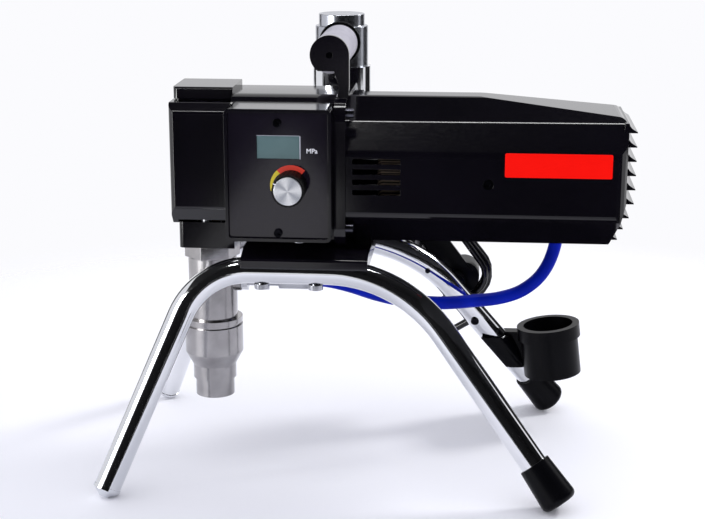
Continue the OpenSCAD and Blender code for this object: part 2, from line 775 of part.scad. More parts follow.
module motor_rear_bell() {
    color("darkgray") difference() {
        rod_x(bell_x0, bell_x1, 0, motor_z, stator_d + 3);
        rod_x(bell_x0 - 1, bell_x0 + motor_bearing_w, 0, motor_z, motor_bearing_d + 2 * fit);
        rod_x(bell_x0 - 1, bell_x1 + 1, 0, motor_z, motor_shaft_d + 8);
        for (p = tie_rod_places) rod_x(bell_x0 - 1, bell_x1 + 1, p.x, p.y, tie_rod_d + 2 * fit);
        for (a = [0, 90, 180, 270])
            rod_x(bell_x0 - 1, bell_x1 + 1, 38 * cos(a), motor_z + 38 * sin(a), 16);
    }
}
module bearing_ring(x0, w, z, d_out, d_in) {
    difference() {
        rod_x(x0, x0 + w, 0, z, d_out);
        rod_x(x0 - 1, x0 + w + 1, 0, z, d_in);
    }
}
module shaft_bearings() {
    lay_bore = layshaft_d + 2 * run_fit;
    color("silver") {
        for (x = [flange_x1 - motor_bearing_w, bell_x0])
            bearing_ring(x, motor_bearing_w, motor_z, motor_bearing_d, motor_shaft_d + 2 * run_fit);
        for (x = [housing_x0, crank_boss_x1 - bearing_w])
            bearing_ring(x, bearing_w, crank_z, bearing_d, crank_shaft_d + 2 * run_fit);
        bearing_ring(housing_x0 + 1, housing_front_wall - 1, layshaft_z, bush_d, lay_bore);
        bearing_ring(flange_x0, bush_l, layshaft_z, bush_d, lay_bore);
    }
}
pinion_x0 = flange_x0 - 8 - wheel_w;
fan_x0 = bell_x1 + 8;
fan_w = 20;
fan_hub_d = 34;
fan_blades = 12;
rotor_x1 = fan_x0 + fan_w + 6;
pinion_bore = 8;
module motor_rotor() {
    color("silver") {
        rod_x(flange_x0 - 4, rotor_x1, 0, motor_z, motor_shaft_d);
        rod_x(pinion_x0 - 4, flange_x0 - 3, 0, motor_z, pinion_bore);
        rod_x(stator_x0, stator_x1, 0, motor_z, rotor_d);
    }
}
module motor_fan() {
    color("dimgray") difference() {
        union() {
            rod_x(fan_x0, fan_x0 + fan_w, 0, motor_z, fan_hub_d);
            rod_x(fan_x0, fan_x0 + 2.5, 0, motor_z, fan_d);
            for (i = [0:fan_blades - 1])
                translate([fan_x0, 0, motor_z]) rotate([i * 360 / fan_blades, 0, 0])
                    translate([0, fan_hub_d / 2 - 2, -1]) cube([fan_w, (fan_d - fan_hub_d) / 2, 2]);
        }
        rod_x(fan_x0 - 1, fan_x0 + fan_w + 1, 0, motor_z, motor_shaft_d + fit);
    }
}

// Gears: involute teeth thinned for backlash
pressure_angle = 20;
tooth_add = 0.85;
tooth_ded = 1.2;
backlash = 0.14;
function involute_angle(a) = tan(a) * 180 / PI - a;
function half_tooth(r, teeth) =
    let (pitch_r = gear_module * teeth / 2, base_r = pitch_r * cos(pressure_angle))
    90 / teeth - backlash * gear_module / pitch_r * 180 / PI / 2
        + involute_angle(pressure_angle) - involute_angle(acos(min(1, base_r / r)));
function gear_outline(teeth) =
    let (pitch_r = gear_module * teeth / 2, root = pitch_r - tooth_ded * gear_module,
         tip = pitch_r + tooth_add * gear_module,
         low = max(root + 0.3, pitch_r * cos(pressure_angle)),
         radii = [low, (low + pitch_r) / 2, pitch_r, (pitch_r + tip) / 2, tip])
    [for (i = [0:teeth - 1]) let (mid = 360 * i / teeth)
        each concat(
            [root * [cos(mid - half_tooth(low, teeth)), sin(mid - half_tooth(low, teeth))]],
            [for (r = radii) let (a = mid - half_tooth(r, teeth)) r * [cos(a), sin(a)]],
            [for (k = [4:-1:0]) let (a = mid + half_tooth(radii[k], teeth)) radii[k] * [cos(a), sin(a)]],
            [root * [cos(mid + half_tooth(low, teeth)), sin(mid + half_tooth(low, teeth))]])];
module gear(x0, w, z, teeth, phase) {
    translate([x0, 0, z]) rotate([90, 0, 90]) rotate(phase) linear_extrude(w)
        polygon(gear_outline(teeth));
}
half_pinion = 180 / pinion_teeth;
crank_gear_x0 = crank_boss_x1 + 4;
module motor_pinion() {
    color("gray") difference() {
        gear(pinion_x0, wheel_w, motor_z, pinion_teeth, half_pinion);
        rod_x(pinion_x0 - 1, pinion_x0 + wheel_w + 1, 0, motor_z, pinion_bore + 0.1);
    }
}
lay_end_gap = 0.3;
module layshaft_gear() {
    color("lightslategray") {
        rod_x(housing_x0 + 1 + lay_end_gap, flange_x0 + bush_l - lay_end_gap, 0, layshaft_z, layshaft_d);
        gear(crank_gear_x0 - 1, crank_gear_w + 2, layshaft_z, pinion_teeth, half_pinion);
        gear(pinion_x0 + 1, wheel_w - 2, layshaft_z, wheel_teeth, 0);
    }
}
crank_disc_t = 9;
crank_disc_x0 = housing_x0 - 3 - crank_disc_t;
roller_d = 20;
roller_w = 5;
crank_pin_d = 11;
roller_x0 = crank_disc_x0 - roller_w - 0.3;
module crank_gear() {
    color("gray") {
        difference() {
            gear(crank_gear_x0, crank_gear_w, crank_z, crank_teeth, 0);
            for (a = [45:90:315])
                rod_x(crank_gear_x0 - 1, crank_gear_x0 + crank_gear_w + 1, 21 * cos(a), crank_z + 21 * sin(a), 14);
        }
        rod_x(crank_disc_x0, crank_gear_x0 + crank_gear_w, 0, crank_z, crank_shaft_d);
        rod_x(crank_disc_x0, crank_disc_x0 + crank_disc_t, 0, crank_z, 2 * crank_throw + 24);
        rod_x(roller_x0, crank_disc_x0 + 1, -crank_throw, crank_z, crank_pin_d);
    }
}
module crank_roller() {
    color("silver") difference() {
        rod_x(roller_x0, roller_x0 + roller_w, -crank_throw, crank_z, roller_d);
        rod_x(roller_x0 - 1, roller_x0 + roller_w + 1, -crank_throw, crank_z, crank_pin_d + 2 * run_fit);
    }
}

// Yoke, rod and piston
guide_d = 10;
guide_y = 28.5;
guide_sink = 5;
guide_top_z = crank_z + 50;
yoke_x1 = roller_x0 - 0.5;
yoke_x0 = 2 * pump_x - yoke_x1;
yoke_half_h = 18;
yoke_half_w = 39;
yoke_slot_depth = 5.5;
rod_socket = 12;
module drive_yoke() {
    slot_half = crank_throw + roller_d / 2 + 2;
    color("lightgray") difference() {
        block(yoke_x0, yoke_x1, -yoke_half_w, yoke_half_w, crank_z - yoke_half_h, crank_z + yoke_half_h);
        for (side = [-1, 1])
            rod_z(crank_z - yoke_half_h - 1, crank_z + yoke_half_h + 1, pump_x, side * guide_y,
                  guide_d + 2 * run_fit);
        block(yoke_x1 - yoke_slot_depth, yoke_x1 + 1, -slot_half, slot_half,
              crank_z - roller_d / 2 - move_gap, crank_z + roller_d / 2 + move_gap);
        rod_z(crank_z - yoke_half_h - 1, crank_z - yoke_half_h + rod_socket, pump_x, 0, rod_d * 0.7 + 2 * fit);
    }
}
module yoke_guides() {
    color("silver") for (side = [-1, 1])
        rod_z(block_z1 - guide_sink, guide_top_z, pump_x, side * guide_y, guide_d);
}
cylinder_z0 = stand_h - 89;
cylinder_z1 = stand_h - 4;
collar_z1 = stand_h - 67;
neck_z1 = stand_h + 33;
outlet_seat_d = outlet_ball_d - 3;
outlet_seat_h = 5;
outlet_chamber_d = outlet_ball_d + 3.4;
// How high a ball's middle rests above the edge of its seat
function ball_rise(ball, seat) = sqrt(ball * ball - seat * seat) / 2 + 0.3;
ball_room = outlet_ball_d / 2 + outlet_lift + 2.4;
piston_h = outlet_seat_h + ball_rise(outlet_ball_d, outlet_seat_d) + ball_room;
piston_z0 = cylinder_z0 + 18;
piston_z1 = piston_z0 + piston_h;
piston_d = cylinder_bore - 1.4;
seal_z0 = piston_z0 + 3;
seal_h = 7;
module piston_rod() {
    color("gainsboro") {
        rod_z(piston_z1, crank_z - yoke_half_h - fit, pump_x, 0, rod_d);
        rod_z(crank_z - yoke_half_h - 1, crank_z - yoke_half_h + rod_socket - fit, pump_x, 0, rod_d * 0.7);
    }
}
module piston() {
    color("silver") difference() {
        rod_z(piston_z0, piston_z1, pump_x, 0, piston_d);
        difference() {
            rod_z(seal_z0, seal_z0 + seal_h, pump_x, 0, piston_d + 1);
            rod_z(seal_z0 - 1, seal_z0 + seal_h + 1, pump_x, 0, piston_d - 4);
        }
        rod_z(piston_z0 - 1, piston_z1 + 1, pump_x, 0, outlet_seat_d);
        rod_z(piston_z0 + outlet_seat_h, piston_z1 + 1, pump_x, 0, outlet_chamber_d);
        rod_x(pump_x - piston_d, pump_x + piston_d, 0, piston_z1 - 5, 5);
    }
}
module piston_seal() {
    color("ivory") difference() {
        rod_z(seal_z0 + fit, seal_z0 + seal_h - fit, pump_x, 0, cylinder_bore - 2 * run_fit);
        rod_z(seal_z0, seal_z0 + seal_h, pump_x, 0, piston_d - 4 + 2 * fit);
    }
}
outlet_ball_z = piston_z0 + outlet_seat_h + ball_rise(outlet_ball_d, outlet_seat_d);
module outlet_ball() {
    color("whitesmoke") translate([pump_x, 0, outlet_ball_z]) sphere(d = outlet_ball_d);
}

// Packings
packing_d = 27.6;
throat_z0 = neck_z1 - 25;
packing_z0 = neck_z1 - 20;
packing_z1 = neck_z1 - 6;
nut_top_z = neck_z1 + 9;
module packing_set() {
    color("tan") difference() {
        rod_z(packing_z0, packing_z1, pump_x, 0, packing_d);
        rod_z(packing_z0 - 1, packing_z1 + 1, pump_x, 0, rod_d + 2 * run_fit);
    }
}
module packing_nut() {
    color("darkkhaki") difference() {
        union() {
            rod_z(packing_z1, nut_top_z, pump_x, 0, packing_d);
            rod_z(neck_z1, nut_top_z, pump_x, 0, neck_d - 1);
        }
        rod_z(packing_z1 - 1, nut_top_z + 1, pump_x, 0, rod_d + 2 * run_fit);
        for (a = [0, 90]) translate([pump_x, 0, nut_top_z]) rotate(a) cube([neck_d, 5, 8], center = true);
    }
}
module pump_lock_nut() {
    color("silver") difference() {
        translate([pump_x, 0, cylinder_z1]) rotate(15)
            cylinder(h = block_z0 - cylinder_z1, d = lock_nut_af / cos(30), $fn = 6);
        rod_z(cylinder_z1 - 1, block_z0 + 1, pump_x, 0, neck_d + 2 * fit);
    }
}
outlet_z = stand_h - 28;
outlet_port_d = 10;
outlet_boss_x1 = pump_x + cylinder_d / 2 + 5;
spigot_d = 44;
module pump_cylinder() {
    color("silver") difference() {
        union() {
            rod_z(collar_z1, cylinder_z1, pump_x, 0, cylinder_d);
            rod_z(cylinder_z0, collar_z1, pump_x, 0, spigot_d);
            rod_z(cylinder_z1, neck_z1, pump_x, 0, neck_d);
            rod_x(pump_x, outlet_boss_x1, 0, outlet_z, 24);
        }
        rod_z(cylinder_z0 - 1, throat_z0, pump_x, 0, cylinder_bore);
        rod_z(throat_z0 - 1, packing_z0 + 1, pump_x, 0, rod_d + 1);
        rod_z(packing_z0, neck_z1 + 1, pump_x, 0, packing_d + 2 * fit);
        rod_x(pump_x, outlet_boss_x1 + 1, 0, outlet_z, outlet_port_d + 2 * fit);
    }
}

// Foot valve
foot_z0 = stand_h - 149;
suction_z1 = stand_h - 131;
waist_z1 = stand_h - 117;
collar_z0 = stand_h - 103;
seat_z0 = stand_h - 125;
seat_h = 6;
seat_d = 28;
seat_hole_d = inlet_ball_d - 6;
groove_h = 3;
module foot_valve() {
    color("silver") difference() {
        translate([pump_x, 0, 0]) rotate_extrude() polygon([
            [0, foot_z0], [suction_d / 2, foot_z0], [suction_d / 2, suction_z1],
            [waist_d / 2, suction_z1], [waist_d / 2, waist_z1], [collar_d / 2, collar_z0],
            [collar_d / 2, collar_z1 - 8], [collar_d / 2 - 2, collar_z1 - 8],
            [collar_d / 2 - 2, collar_z1 - 8 + groove_h], [collar_d / 2, collar_z1 - 8 + groove_h],
            [collar_d / 2, collar_z1], [0, collar_z1]]);
        rod_z(cylinder_z0, collar_z1 + 1, pump_x, 0, spigot_d + 2 * fit);
        rod_z(seat_z0, cylinder_z0 + 1, pump_x, 0, seat_d + 2 * fit);
        rod_z(foot_z0 - 1, seat_z0 + 1, pump_x, 0, seat_hole_d + 2);
        rod_z(foot_z0 - 1, suction_z1, pump_x, 0, suction_bore);
    }
    color("silver") rod_x(pump_x - stop_pin_l / 2, pump_x + stop_pin_l / 2, 0, stop_pin_z, stop_pin_d);
}
module inlet_seat() {
    color("dimgray") difference() {
        rod_z(seat_z0, seat_z0 + seat_h, pump_x, 0, seat_d);
        rod_z(seat_z0 - 1, seat_z0 + seat_h + 1, pump_x, 0, seat_hole_d);
    }
}
inlet_ball_z = seat_z0 + seat_h + ball_rise(inlet_ball_d, seat_hole_d);
stop_pin_d = 4;
stop_pin_l = seat_d + 8;
stop_pin_z = inlet_ball_z + inlet_ball_d / 2 + inlet_lift + stop_pin_d / 2 + move_gap;
module inlet_ball() {
    color("whitesmoke") translate([pump_x, 0, inlet_ball_z]) sphere(d = inlet_ball_d);
}
// Pump outlet and fluid hose
hose_start_x = -60.5;
hose_seat_gap = 0.35;
hose_end = [52.5, 104, 287];
ferrule_d = hose_d + 5;
ferrule_l = 34;
module pump_outlet_fitting() {
    nut_x0 = outlet_boss_x1 + 14;
    color("silver") {
        rod_x(outlet_boss_x1 - 8, outlet_boss_x1, 0, outlet_z, outlet_port_d);
        hex_x(outlet_boss_x1, outlet_boss_x1 + 7, 0, outlet_z, 20);
        rod_x(outlet_boss_x1 + 7, nut_x0, 0, outlet_z, nipple_d);
        hex_x(nut_x0, nut_x0 + 14, 0, outlet_z, 19);
        rod_x(nut_x0 + 14, hose_start_x - ferrule_l, 0, outlet_z, nipple_d);
        rod_x(hose_start_x - ferrule_l, hose_start_x, 0, outlet_z, ferrule_d);
    }
}
hose_points = [
    [hose_start_x + hose_seat_gap, 0, outlet_z], [hose_start_x + 14, 0, outlet_z], [-24, 4, 176], [2, 14, 167],
    [26, 25, 160], [66, 40, 150], [106, 57, 146], [127, 65, 147], [147, 72, 152], [164, 78, 163],
    [175, 83, 177], [182, 87, 195], [185, 90, 215], [183, 93, 235], [176, 96, 254], [163, 99, 269],
    [146, 101, 279], [126, 103, 285], [102, 104, 287], [hose_end.x + 14, hose_end.y, hose_end.z], hose_end];

// A tube swept along points, its rings square to the path
function ahead(p, i) = unit(p[min(i + 1, len(p) - 1)] - p[max(i - 1, 0)]);
function frames(p, i = 0, side = [0, 0, 1]) =
    i == len(p) ? []
    : let (t = ahead(p, i), u = unit(side - t * (side * t)))
      concat([[u, cross(t, u)]], frames(p, i + 1, u));
function ring_points(p, axes, r, sides) =
    [for (k = [0:sides - 1]) let (a = 360 * k / sides) p + r * (cos(a) * axes[0] + sin(a) * axes[1])];
function curve_point(a, b, c, d, t) =
    0.5 * (2 * b + (c - a) * t + (2 * a - 5 * b + 4 * c - d) * t * t + (3 * b - a - 3 * c + d) * t * t * t);
function smooth(p, steps) =
    let (n = len(p))
    concat([for (i = [0:n - 2], k = [0:steps - 1])
        curve_point(p[max(i - 1, 0)], p[i], p[i + 1], p[min(i + 2, n - 1)], k / steps)], [p[n - 1]]);
module swept_tube(p, d, sides) {
    axes = frames(p);
    n = len(p);
    points = [for (i = [0:n - 1]) each ring_points(p[i], axes[i], d / 2, sides)];
    skin = [for (i = [0:n - 2], k = [0:sides - 1])
        let (a = i * sides + k, b = i * sides + (k + 1) % sides)
        each [[a, a + sides, b], [b, a + sides, b + sides]]];
    ends = concat([[for (k = [0:sides - 1]) k]], [[for (k = [sides - 1:-1:0]) (n - 1) * sides + k]]);
    polyhedron(points, concat(skin, ends));
}
module fluid_hose() { color("#1420a0") swept_tube(smooth(hose_points, 2), hose_d, 10); }

// Control box
box_x1 = flange_x0;
box_x0 = box_x1 - box_l;
box_y1 = -housing_half_w - fit;
box_y0 = box_y1 - box_depth;
box_z0 = stand_h + 34;
box_z1 = box_z0 + box_h;
panel_y = box_y0 + panel_inset;
panel_mid_x = (box_x0 + box_x1) / 2 + 1;
display_x = panel_mid_x - 0.75;
display_z = box_z1 - 36;
knob_x = panel_mid_x + 11;
knob_z = box_z0 + 53;
panel_screw_x = panel_mid_x - 1.5;
panel_screw_z = [box_z0 + 8, box_z1 - 13];
panel_screw_d = 4;
panel_post_d = 9;
module box_outline(inset) {
    polygon(rounded([[box_x0 + inset, box_z0 + inset], [box_x1 - inset, box_z0 + inset],
                     [box_x1 - inset, box_z1 - inset], [box_x0 + inset, box_z1 - inset]],
                    [5, 5, 5, 5] * (inset > 0 ? 0.5 : 1)));
}
switch_x = knob_x + 6.25;
fuse_x = knob_x + 30.25;
switch_y = box_y0 + 15;
switch_d = 12;
fuse_d = 9;
module control_box() {
    color("#121218") difference() {
        union() {
            difference() {
                along_y(box_y0, box_depth) box_outline(0);
                along_y(box_y0 - box_wall, box_depth) box_outline(box_wall);
            }
            for (z = panel_screw_z)
                rod_y(panel_y + panel_t, box_y1 - 1, panel_screw_x, z, panel_post_d);
            rod_z(box_z0 - 2.5, box_z0 + 1, fuse_x, switch_y, fuse_d);
        }
        for (z = panel_screw_z)
            rod_y(panel_y, panel_y + 22, panel_screw_x, z, panel_screw_d + 2 * fit);
        for (p = flange_bolt_places)
            rod_x(box_x1 - 2 * box_wall, box_x1 + 1, p.x, p.y, flange_bolt_d + 2 * fit);
        rod_z(box_z0 - 1, box_z0 + box_wall + 1, switch_x, switch_y, switch_d + 2 * run_fit);
    }
}
module control_panel() {
    color("#1e1a24") difference() {
        along_y(panel_y, panel_t) box_outline(box_wall + fit);
        for (z = panel_screw_z) rod_y(panel_y - 1, panel_y + panel_t + 1, panel_screw_x, z, panel_screw_d + 2 * fit);
        block(display_x - display_w / 2, display_x + display_w / 2, panel_y - 1, panel_y + panel_t + 1,
              display_z - display_h / 2, display_z + display_h / 2);
        rod_y(panel_y - 1, panel_y + panel_t + 1, knob_x, knob_z, spindle_d + 4);
    }
}
module panel_screws() {
    for (z = panel_screw_z) difference() {
        union() {
            rod_y(panel_y - 2.5, panel_y, panel_screw_x, z, panel_screw_d + 4);
            rod_y(panel_y - 1, panel_y + 18, panel_screw_x, z, panel_screw_d);
        }
        hex_y(panel_y - 3, panel_y - 1, panel_mid_x, z, 3);
    }
}
display_t = 5;
module display_window() {
    w = display_w / 2 - fit;
    h = display_h / 2 - fit;
    color("#6f8686") {
        block(display_x - w, display_x + w, panel_y + 0.8, panel_y + panel_t + 1,
              display_z - h, display_z + h);
        block(display_x - w - 3, display_x + w + 3, panel_y + panel_t, panel_y + panel_t + display_t,
              display_z - h - 3, display_z + h + 3);
    }
}
board_y = panel_y + panel_t + display_t;
board_t = 1.6;
pot_d = 17;
module control_board() {
    half = (box_l - 2 * box_wall) / 2 - 6;
    color("darkgreen") difference() {
        union() {
            block(panel_mid_x - 1 - half, panel_mid_x - 1 + half, board_y, board_y + board_t,
                  panel_screw_z[0] + panel_post_d, panel_screw_z[1] - panel_post_d);
            rod_y(panel_y + panel_t, board_y + 0.5, knob_x, knob_z, pot_d);
            block(panel_mid_x - 30, panel_mid_x - 4, board_y + board_t - 0.5, board_y + 18,
                  knob_z - 28, knob_z - 6);
            block(panel_mid_x - 36, panel_mid_x + 36, board_y + board_t - 0.5, board_y + 12,
                  display_z - 16, display_z - 2);
        }
        rod_y(panel_y + panel_t - 1, board_y + 1, knob_x, knob_z, spindle_d + 2 * run_fit);
    }
}
knob_gap = 0.5;
knob_y1 = panel_y - knob_gap;
knob_y0 = knob_y1 - knob_h;
module pressure_knob() {
    color("#101014") difference() {
        union() {
            rod_y(knob_y0, knob_y1, knob_x, knob_z, knob_d);
            rod_y(knob_y1 - 1, board_y - 0.4, knob_x, knob_z, spindle_d);
        }
        rod_y(knob_y0 - 1, knob_y0 + 1.2, knob_x, knob_z, knob_cap_d + 2 * fit);
        for (i = [0:23]) let (a = 360 * i / 24)
            rod_y(knob_y0 - 1, knob_y1 - 3, knob_x + knob_d / 2 * cos(a), knob_z + knob_d / 2 * sin(a), 1.2);
    }
}
module knob_cap() {
    color("gainsboro") rod_y(knob_y0 - 0.8, knob_y0 + 1.2, knob_x, knob_z, knob_cap_d);
}
switch_drop = 3;
switch_flange_z = box_z0 + box_wall + move_gap;
module power_switch() {
    color("silver") {
        rod_z(box_z0 - switch_drop, switch_flange_z + 6, switch_x, switch_y, switch_d);
        rod_z(switch_flange_z, switch_flange_z + 4, switch_x, switch_y, switch_d + 5);
    }
}

// Filter and prime valve
filter_x = flange_x0 - 8.5;
filter_y = 104;
manifold_z0 = stand_h + 43;
manifold_z1 = stand_h + 175;
bowl_z1 = manifold_z1 + bowl_h;
port_z = hose_end.z;
spray_z = port_z + 25;
manifold_bore = 44;
plate_t = 6;
element_d = 30;
valve_d = 24;
valve_y1 = filter_y + manifold_d / 2 + 8;
valve_bore = 10;
nipple_l = 16;
boss_l = 6;
module filter_manifold() {
    spray_x1 = filter_x - manifold_d / 2;
    inlet_x0 = filter_x + manifold_d / 2;
    color("silver") difference() {
        union() {
            rod_z(manifold_z0, manifold_z1, filter_x, filter_y, manifold_d);
            block(flange_x0 - plate_t, flange_x0, 54, filter_y - manifold_d / 2 + 8,
                  motor_z - 55, motor_z + 69);
            rod_x(filter_x, inlet_x0 + boss_l, filter_y, port_z, 24);
            hex_x(inlet_x0 + boss_l, inlet_x0 + boss_l + 12, filter_y, port_z, 19);
            rod_x(inlet_x0 + boss_l + 12, hose_end.x - ferrule_l, filter_y, port_z, nipple_d);
            rod_x(hose_end.x - ferrule_l, hose_end.x, filter_y, port_z, ferrule_d);
            hex_x(spray_x1 - boss_l, spray_x1 + 10, filter_y, spray_z, 22);
            rod_x(spray_x1 - boss_l - nipple_l, spray_x1, filter_y, spray_z, nipple_d);
        }
        rod_z(manifold_z0 + 12, manifold_z1 + 1, filter_x, filter_y, manifold_bore);
        rod_x(spray_x1 - boss_l - nipple_l - 1, filter_x, filter_y, spray_z, 6);
        rod_x(filter_x, inlet_x0 + boss_l + 12, filter_y, port_z, 8);
        rod_y(filter_y, valve_y1, filter_x, port_z, valve_d - 6 + 2 * fit);
        for (p = flange_bolt_places)
            rod_x(flange_x0 - plate_t - 1, flange_x0 + 1, p.x, p.y, flange_bolt_d + 2 * fit);
    }
}
bowl_thread_h = 14;
module filter_bowl() {
    color("gainsboro") difference() {
        union() {
            rod_z(manifold_z1, bowl_z1, filter_x, filter_y, bowl_d);
            rod_z(bowl_z1, bowl_z1 + filter_cap_h, filter_x, filter_y, filter_cap_d);
            rod_z(manifold_z1 - bowl_thread_h, manifold_z1, filter_x, filter_y, manifold_bore - 2 * fit);
        }
        rod_z(manifold_z1 - bowl_thread_h - 1, bowl_z1 - 6, filter_x, filter_y, element_d + 4);
    }
}
module filter_element() {
    color("lightsteelblue") difference() {
        rod_z(manifold_z0 + 12, bowl_z1 - 6, filter_x, filter_y, element_d);
        rod_z(manifold_z0 + 18, bowl_z1 - 12, filter_x, filter_y, element_d - 4);
    }
}
module prime_valve() {
    face_y = filter_y + manifold_d / 2;
    color("silver") difference() {
        union() {
            rod_y(face_y - 7, face_y + 1, filter_x, port_z, valve_d - 6);
            rod_y(face_y + fit, valve_y1, filter_x, port_z, valve_d);
        }
        rod_y(face_y - 8, valve_y1 + 1, filter_x, port_z, valve_bore + 2 * run_fit);
    }
}
prime_knob_l = 16;
module prime_knob() {
    y0 = valve_y1 + move_gap;
    color("#b02020") {
        rod_y(valve_y1 - 12, y0 + 1, filter_x, port_z, valve_bore);
        difference() {
            rod_y(y0, y0 + prime_knob_l, filter_x, port_z, prime_knob_d);
            for (side = [-1, 1])
                block(filter_x - prime_knob_d, filter_x + prime_knob_d, y0 + 4, y0 + prime_knob_l + 1,
                      port_z + side * (prime_knob_d / 2 + 5) - 9.5, port_z + side * (prime_knob_d / 2 + 5) + 9.5);
        }
    }
}

// Drip cup: a rubber cup with a sleeve on the far rear leg
cup_mid = [182, 96, 84];
cup_floor = 5;
sleeve_d = tube_d + 8;
sleeve_span = [48, 104];
// How far up the rear leg's straight part a height is
function up_leg(z) = (z - rear_end_z) / rear_cos;
module cup_frame() {
    translate(cup_mid) rotate([0, -cup_lean, 0]) translate([0, 0, -cup_h / 2]) children();
}
web_y = 117;
web_t = 14;
saddle_lip = 7;
saddle_z = [57, 93];
module drip_cup() {
    web = rounded([[113, 89.5], [126, 89.5], [133, 96.5], [166, 96.5], [166, 57.5], [146, 57.5]],
                  [3, 2, 2, 0, 0, 3]);
    saddle_l = up_leg(sleeve_span[1]) - up_leg(sleeve_span[0]);
    color("#101014") difference() {
        union() {
            cup_frame() {
                cylinder(h = cup_h, d = cup_d);
                translate([0, 0, cup_h - cup_rim_h]) cylinder(h = cup_rim_h, d = cup_rim_d);
            }
            along_y(web_y - web_t / 2, web_t) polygon(web);
            intersection() {
                on_far_leg() translate([0, 0, up_leg(sleeve_span[0])]) intersection() {
                    cylinder(h = saddle_l, d = sleeve_d);
                    translate([-saddle_lip, -sleeve_d, 0]) cube([2 * sleeve_d, 2 * sleeve_d, saddle_l]);
                }
                block(0, cup_mid.x, 0, foot_y, saddle_z[0], saddle_z[1]);
            }
        }
        cup_frame() translate([0, 0, cup_floor]) cylinder(h = cup_h, d = cup_d - 2 * cup_wall);
        mirror([0, 1, 0]) stand_path(tube_d + 2 * fit, 0);
    }
}

// Hose guide: a bent bar on the inner side of the far rear leg
guide_low = 132;
guide_high = 170;
guide_reach = 28;
guide_bar_d = 8;
guide_screw_d = 5;
guide_head_d = 8.5;
guide_screw_places = [guide_low + 4, guide_high - 4];
module on_far_leg() { mirror([0, 1, 0]) near_plane() rear_leg_end() children(); }
module hose_guide() {
    x0 = -tube_d / 2 - guide_reach;
    color("#15151a") difference() {
        on_far_leg() {
            for (z = [guide_low, guide_high]) rod_x(x0, 0, 0, z, guide_bar_d);
            rod_z(guide_low, guide_high, x0, 0, guide_bar_d);
            for (z = [guide_low, guide_high]) translate([x0, 0, z]) sphere(d = guide_bar_d);
        }
        mirror([0, 1, 0]) stand_path(tube_d + 2 * fit, 0);
    }
}
module guide_screws() {
    on_far_leg() for (z = guide_screw_places) {
        rod_y(tube_d / 2 + run_fit, tube_d / 2 + 2, 0, z, guide_head_d);
        rod_y(tube_d / 2 - 6, tube_d / 2 + 1, 0, z, guide_screw_d);
    }
}
module small_screws() {
    color("#26262c") {
        cover_screws();
        panel_screws();
        guide_screws();
    }
}

// Cord bracket on the far rear leg, with two pegs for the cord
peg_low = [88.5, 157];
hank_axis = unit([-0.61, 0.79]);
hank_cross = [hank_axis.y, -hank_axis.x];
peg_high = peg_low + hank_axis * hank_run;
hank_y0 = 111;
bracket_t = 4;
bracket_w = 24;
bracket_y0 = hank_y0 - 1 - bracket_t;
peg_d = 2 * hank_fold_r - cord_d - 2;
peg_l = hank_loops * hank_step - 1;
leg_boss = [78.5, 90, 153];
module cord_bracket() {
    color("#15151a") difference() {
        union() {
            hull() for (p = [peg_low, peg_high])
                rod_y(bracket_y0, bracket_y0 + bracket_t, p.x, p.y, bracket_w);
            for (p = [peg_low, peg_high])
                rod_y(bracket_y0 + 1, bracket_y0 + bracket_t + peg_l, p.x, p.y, peg_d);
            rod_y(leg_boss.y, bracket_y0 + 1, leg_boss.x, leg_boss.z, bracket_w);
        }
        mirror([0, 1, 0]) stand_path(tube_d + 2 * fit, 0);
    }
}

// Power cord: a hank on the pegs, its plug, and the lead from the gland to the hank.
// A loop runs down the left run, round the low fold, up the right run and over the top fold.
hank_start = 0.7;
climb_span = 0.17;
plug_lift = 0.7;
function wave(u) = 1 - abs(1 - u % 2);
function layer_of(u) =
    let (n = floor(u), part = max(0, (u - n - 1 + climb_span) / climb_span))
    n + part * (n == hank_loops - 1 ? 1 + plug_lift : 1);
function racetrack(s, r) =
    let (fold = PI * r, a = hank_run, b = a + fold, c = b + hank_run)
    s < a ? [-r, hank_run - s]
    : s < b ? let (t = (s - a) / r * 180 / PI) [-r * cos(t), -r * sin(t)]
    : s < c ? [r, s - b]
    : let (t = (s - c) / r * 180 / PI) [r * cos(t), hank_run + r * sin(t)];
function hank_point(u) =
    let (r = hank_fold_r + hank_step * wave(u), length = 2 * hank_run + 2 * PI * r,
         s = (u - floor(u)) * length + hank_start * hank_run,
         q = racetrack(s < length ? s : s - length, r),
         p = peg_low + hank_cross * q.x + hank_axis * q.y)
    [p.x, hank_y0 + cord_d / 2 + hank_step * layer_of(u), p.y];
hank_rings = 24;
hank_down = [-hank_axis.x, 0, -hank_axis.y];
hank_body = [for (i = [0:hank_loops * hank_rings - 1]) hank_point(i / hank_rings)];
hank_last = hank_point(hank_loops - 0.0001);
hank_points = concat([hank_body[0]], [hank_body[0] + hank_down * cord_d],
                     [for (i = [1:len(hank_body) - 1]) if (i > 1) hank_body[i]],
                     [hank_last - hank_down * 1], [hank_last + hank_down * cord_d]);
hank_gap = min([for (i = [0:len(hank_body) - 1], k = [i + hank_rings / 2:len(hank_body) - 1])
    norm(hank_body[i] - hank_body[k])]) - cord_d;
echo(least_gap_of_the_hank_to_itself = hank_gap);
module cord_hank() { color("#08080c") swept_tube(hank_points, cord_d, 6); }

plug_d = 17;
plug_l = 34;
plug_boot_l = 16;
pin_d = 4.6;
pin_l = 18;
pin_span = 9;
module cord_plug() {
    tip = hank_points[len(hank_points) - 1];
    color("#0c0c10") translate(tip) rotate([0, atan2(hank_down.x, hank_down.z), 0]) {
        cylinder(h = plug_boot_l, d1 = cord_d + 3, d2 = plug_d - 3);
        translate([0, 0, plug_boot_l]) cylinder(h = plug_l, d = plug_d);
        for (side = [-1, 1])
            translate([0, side * pin_span / 2, plug_boot_l + plug_l]) cylinder(h = pin_l, d = pin_d);
    }
}
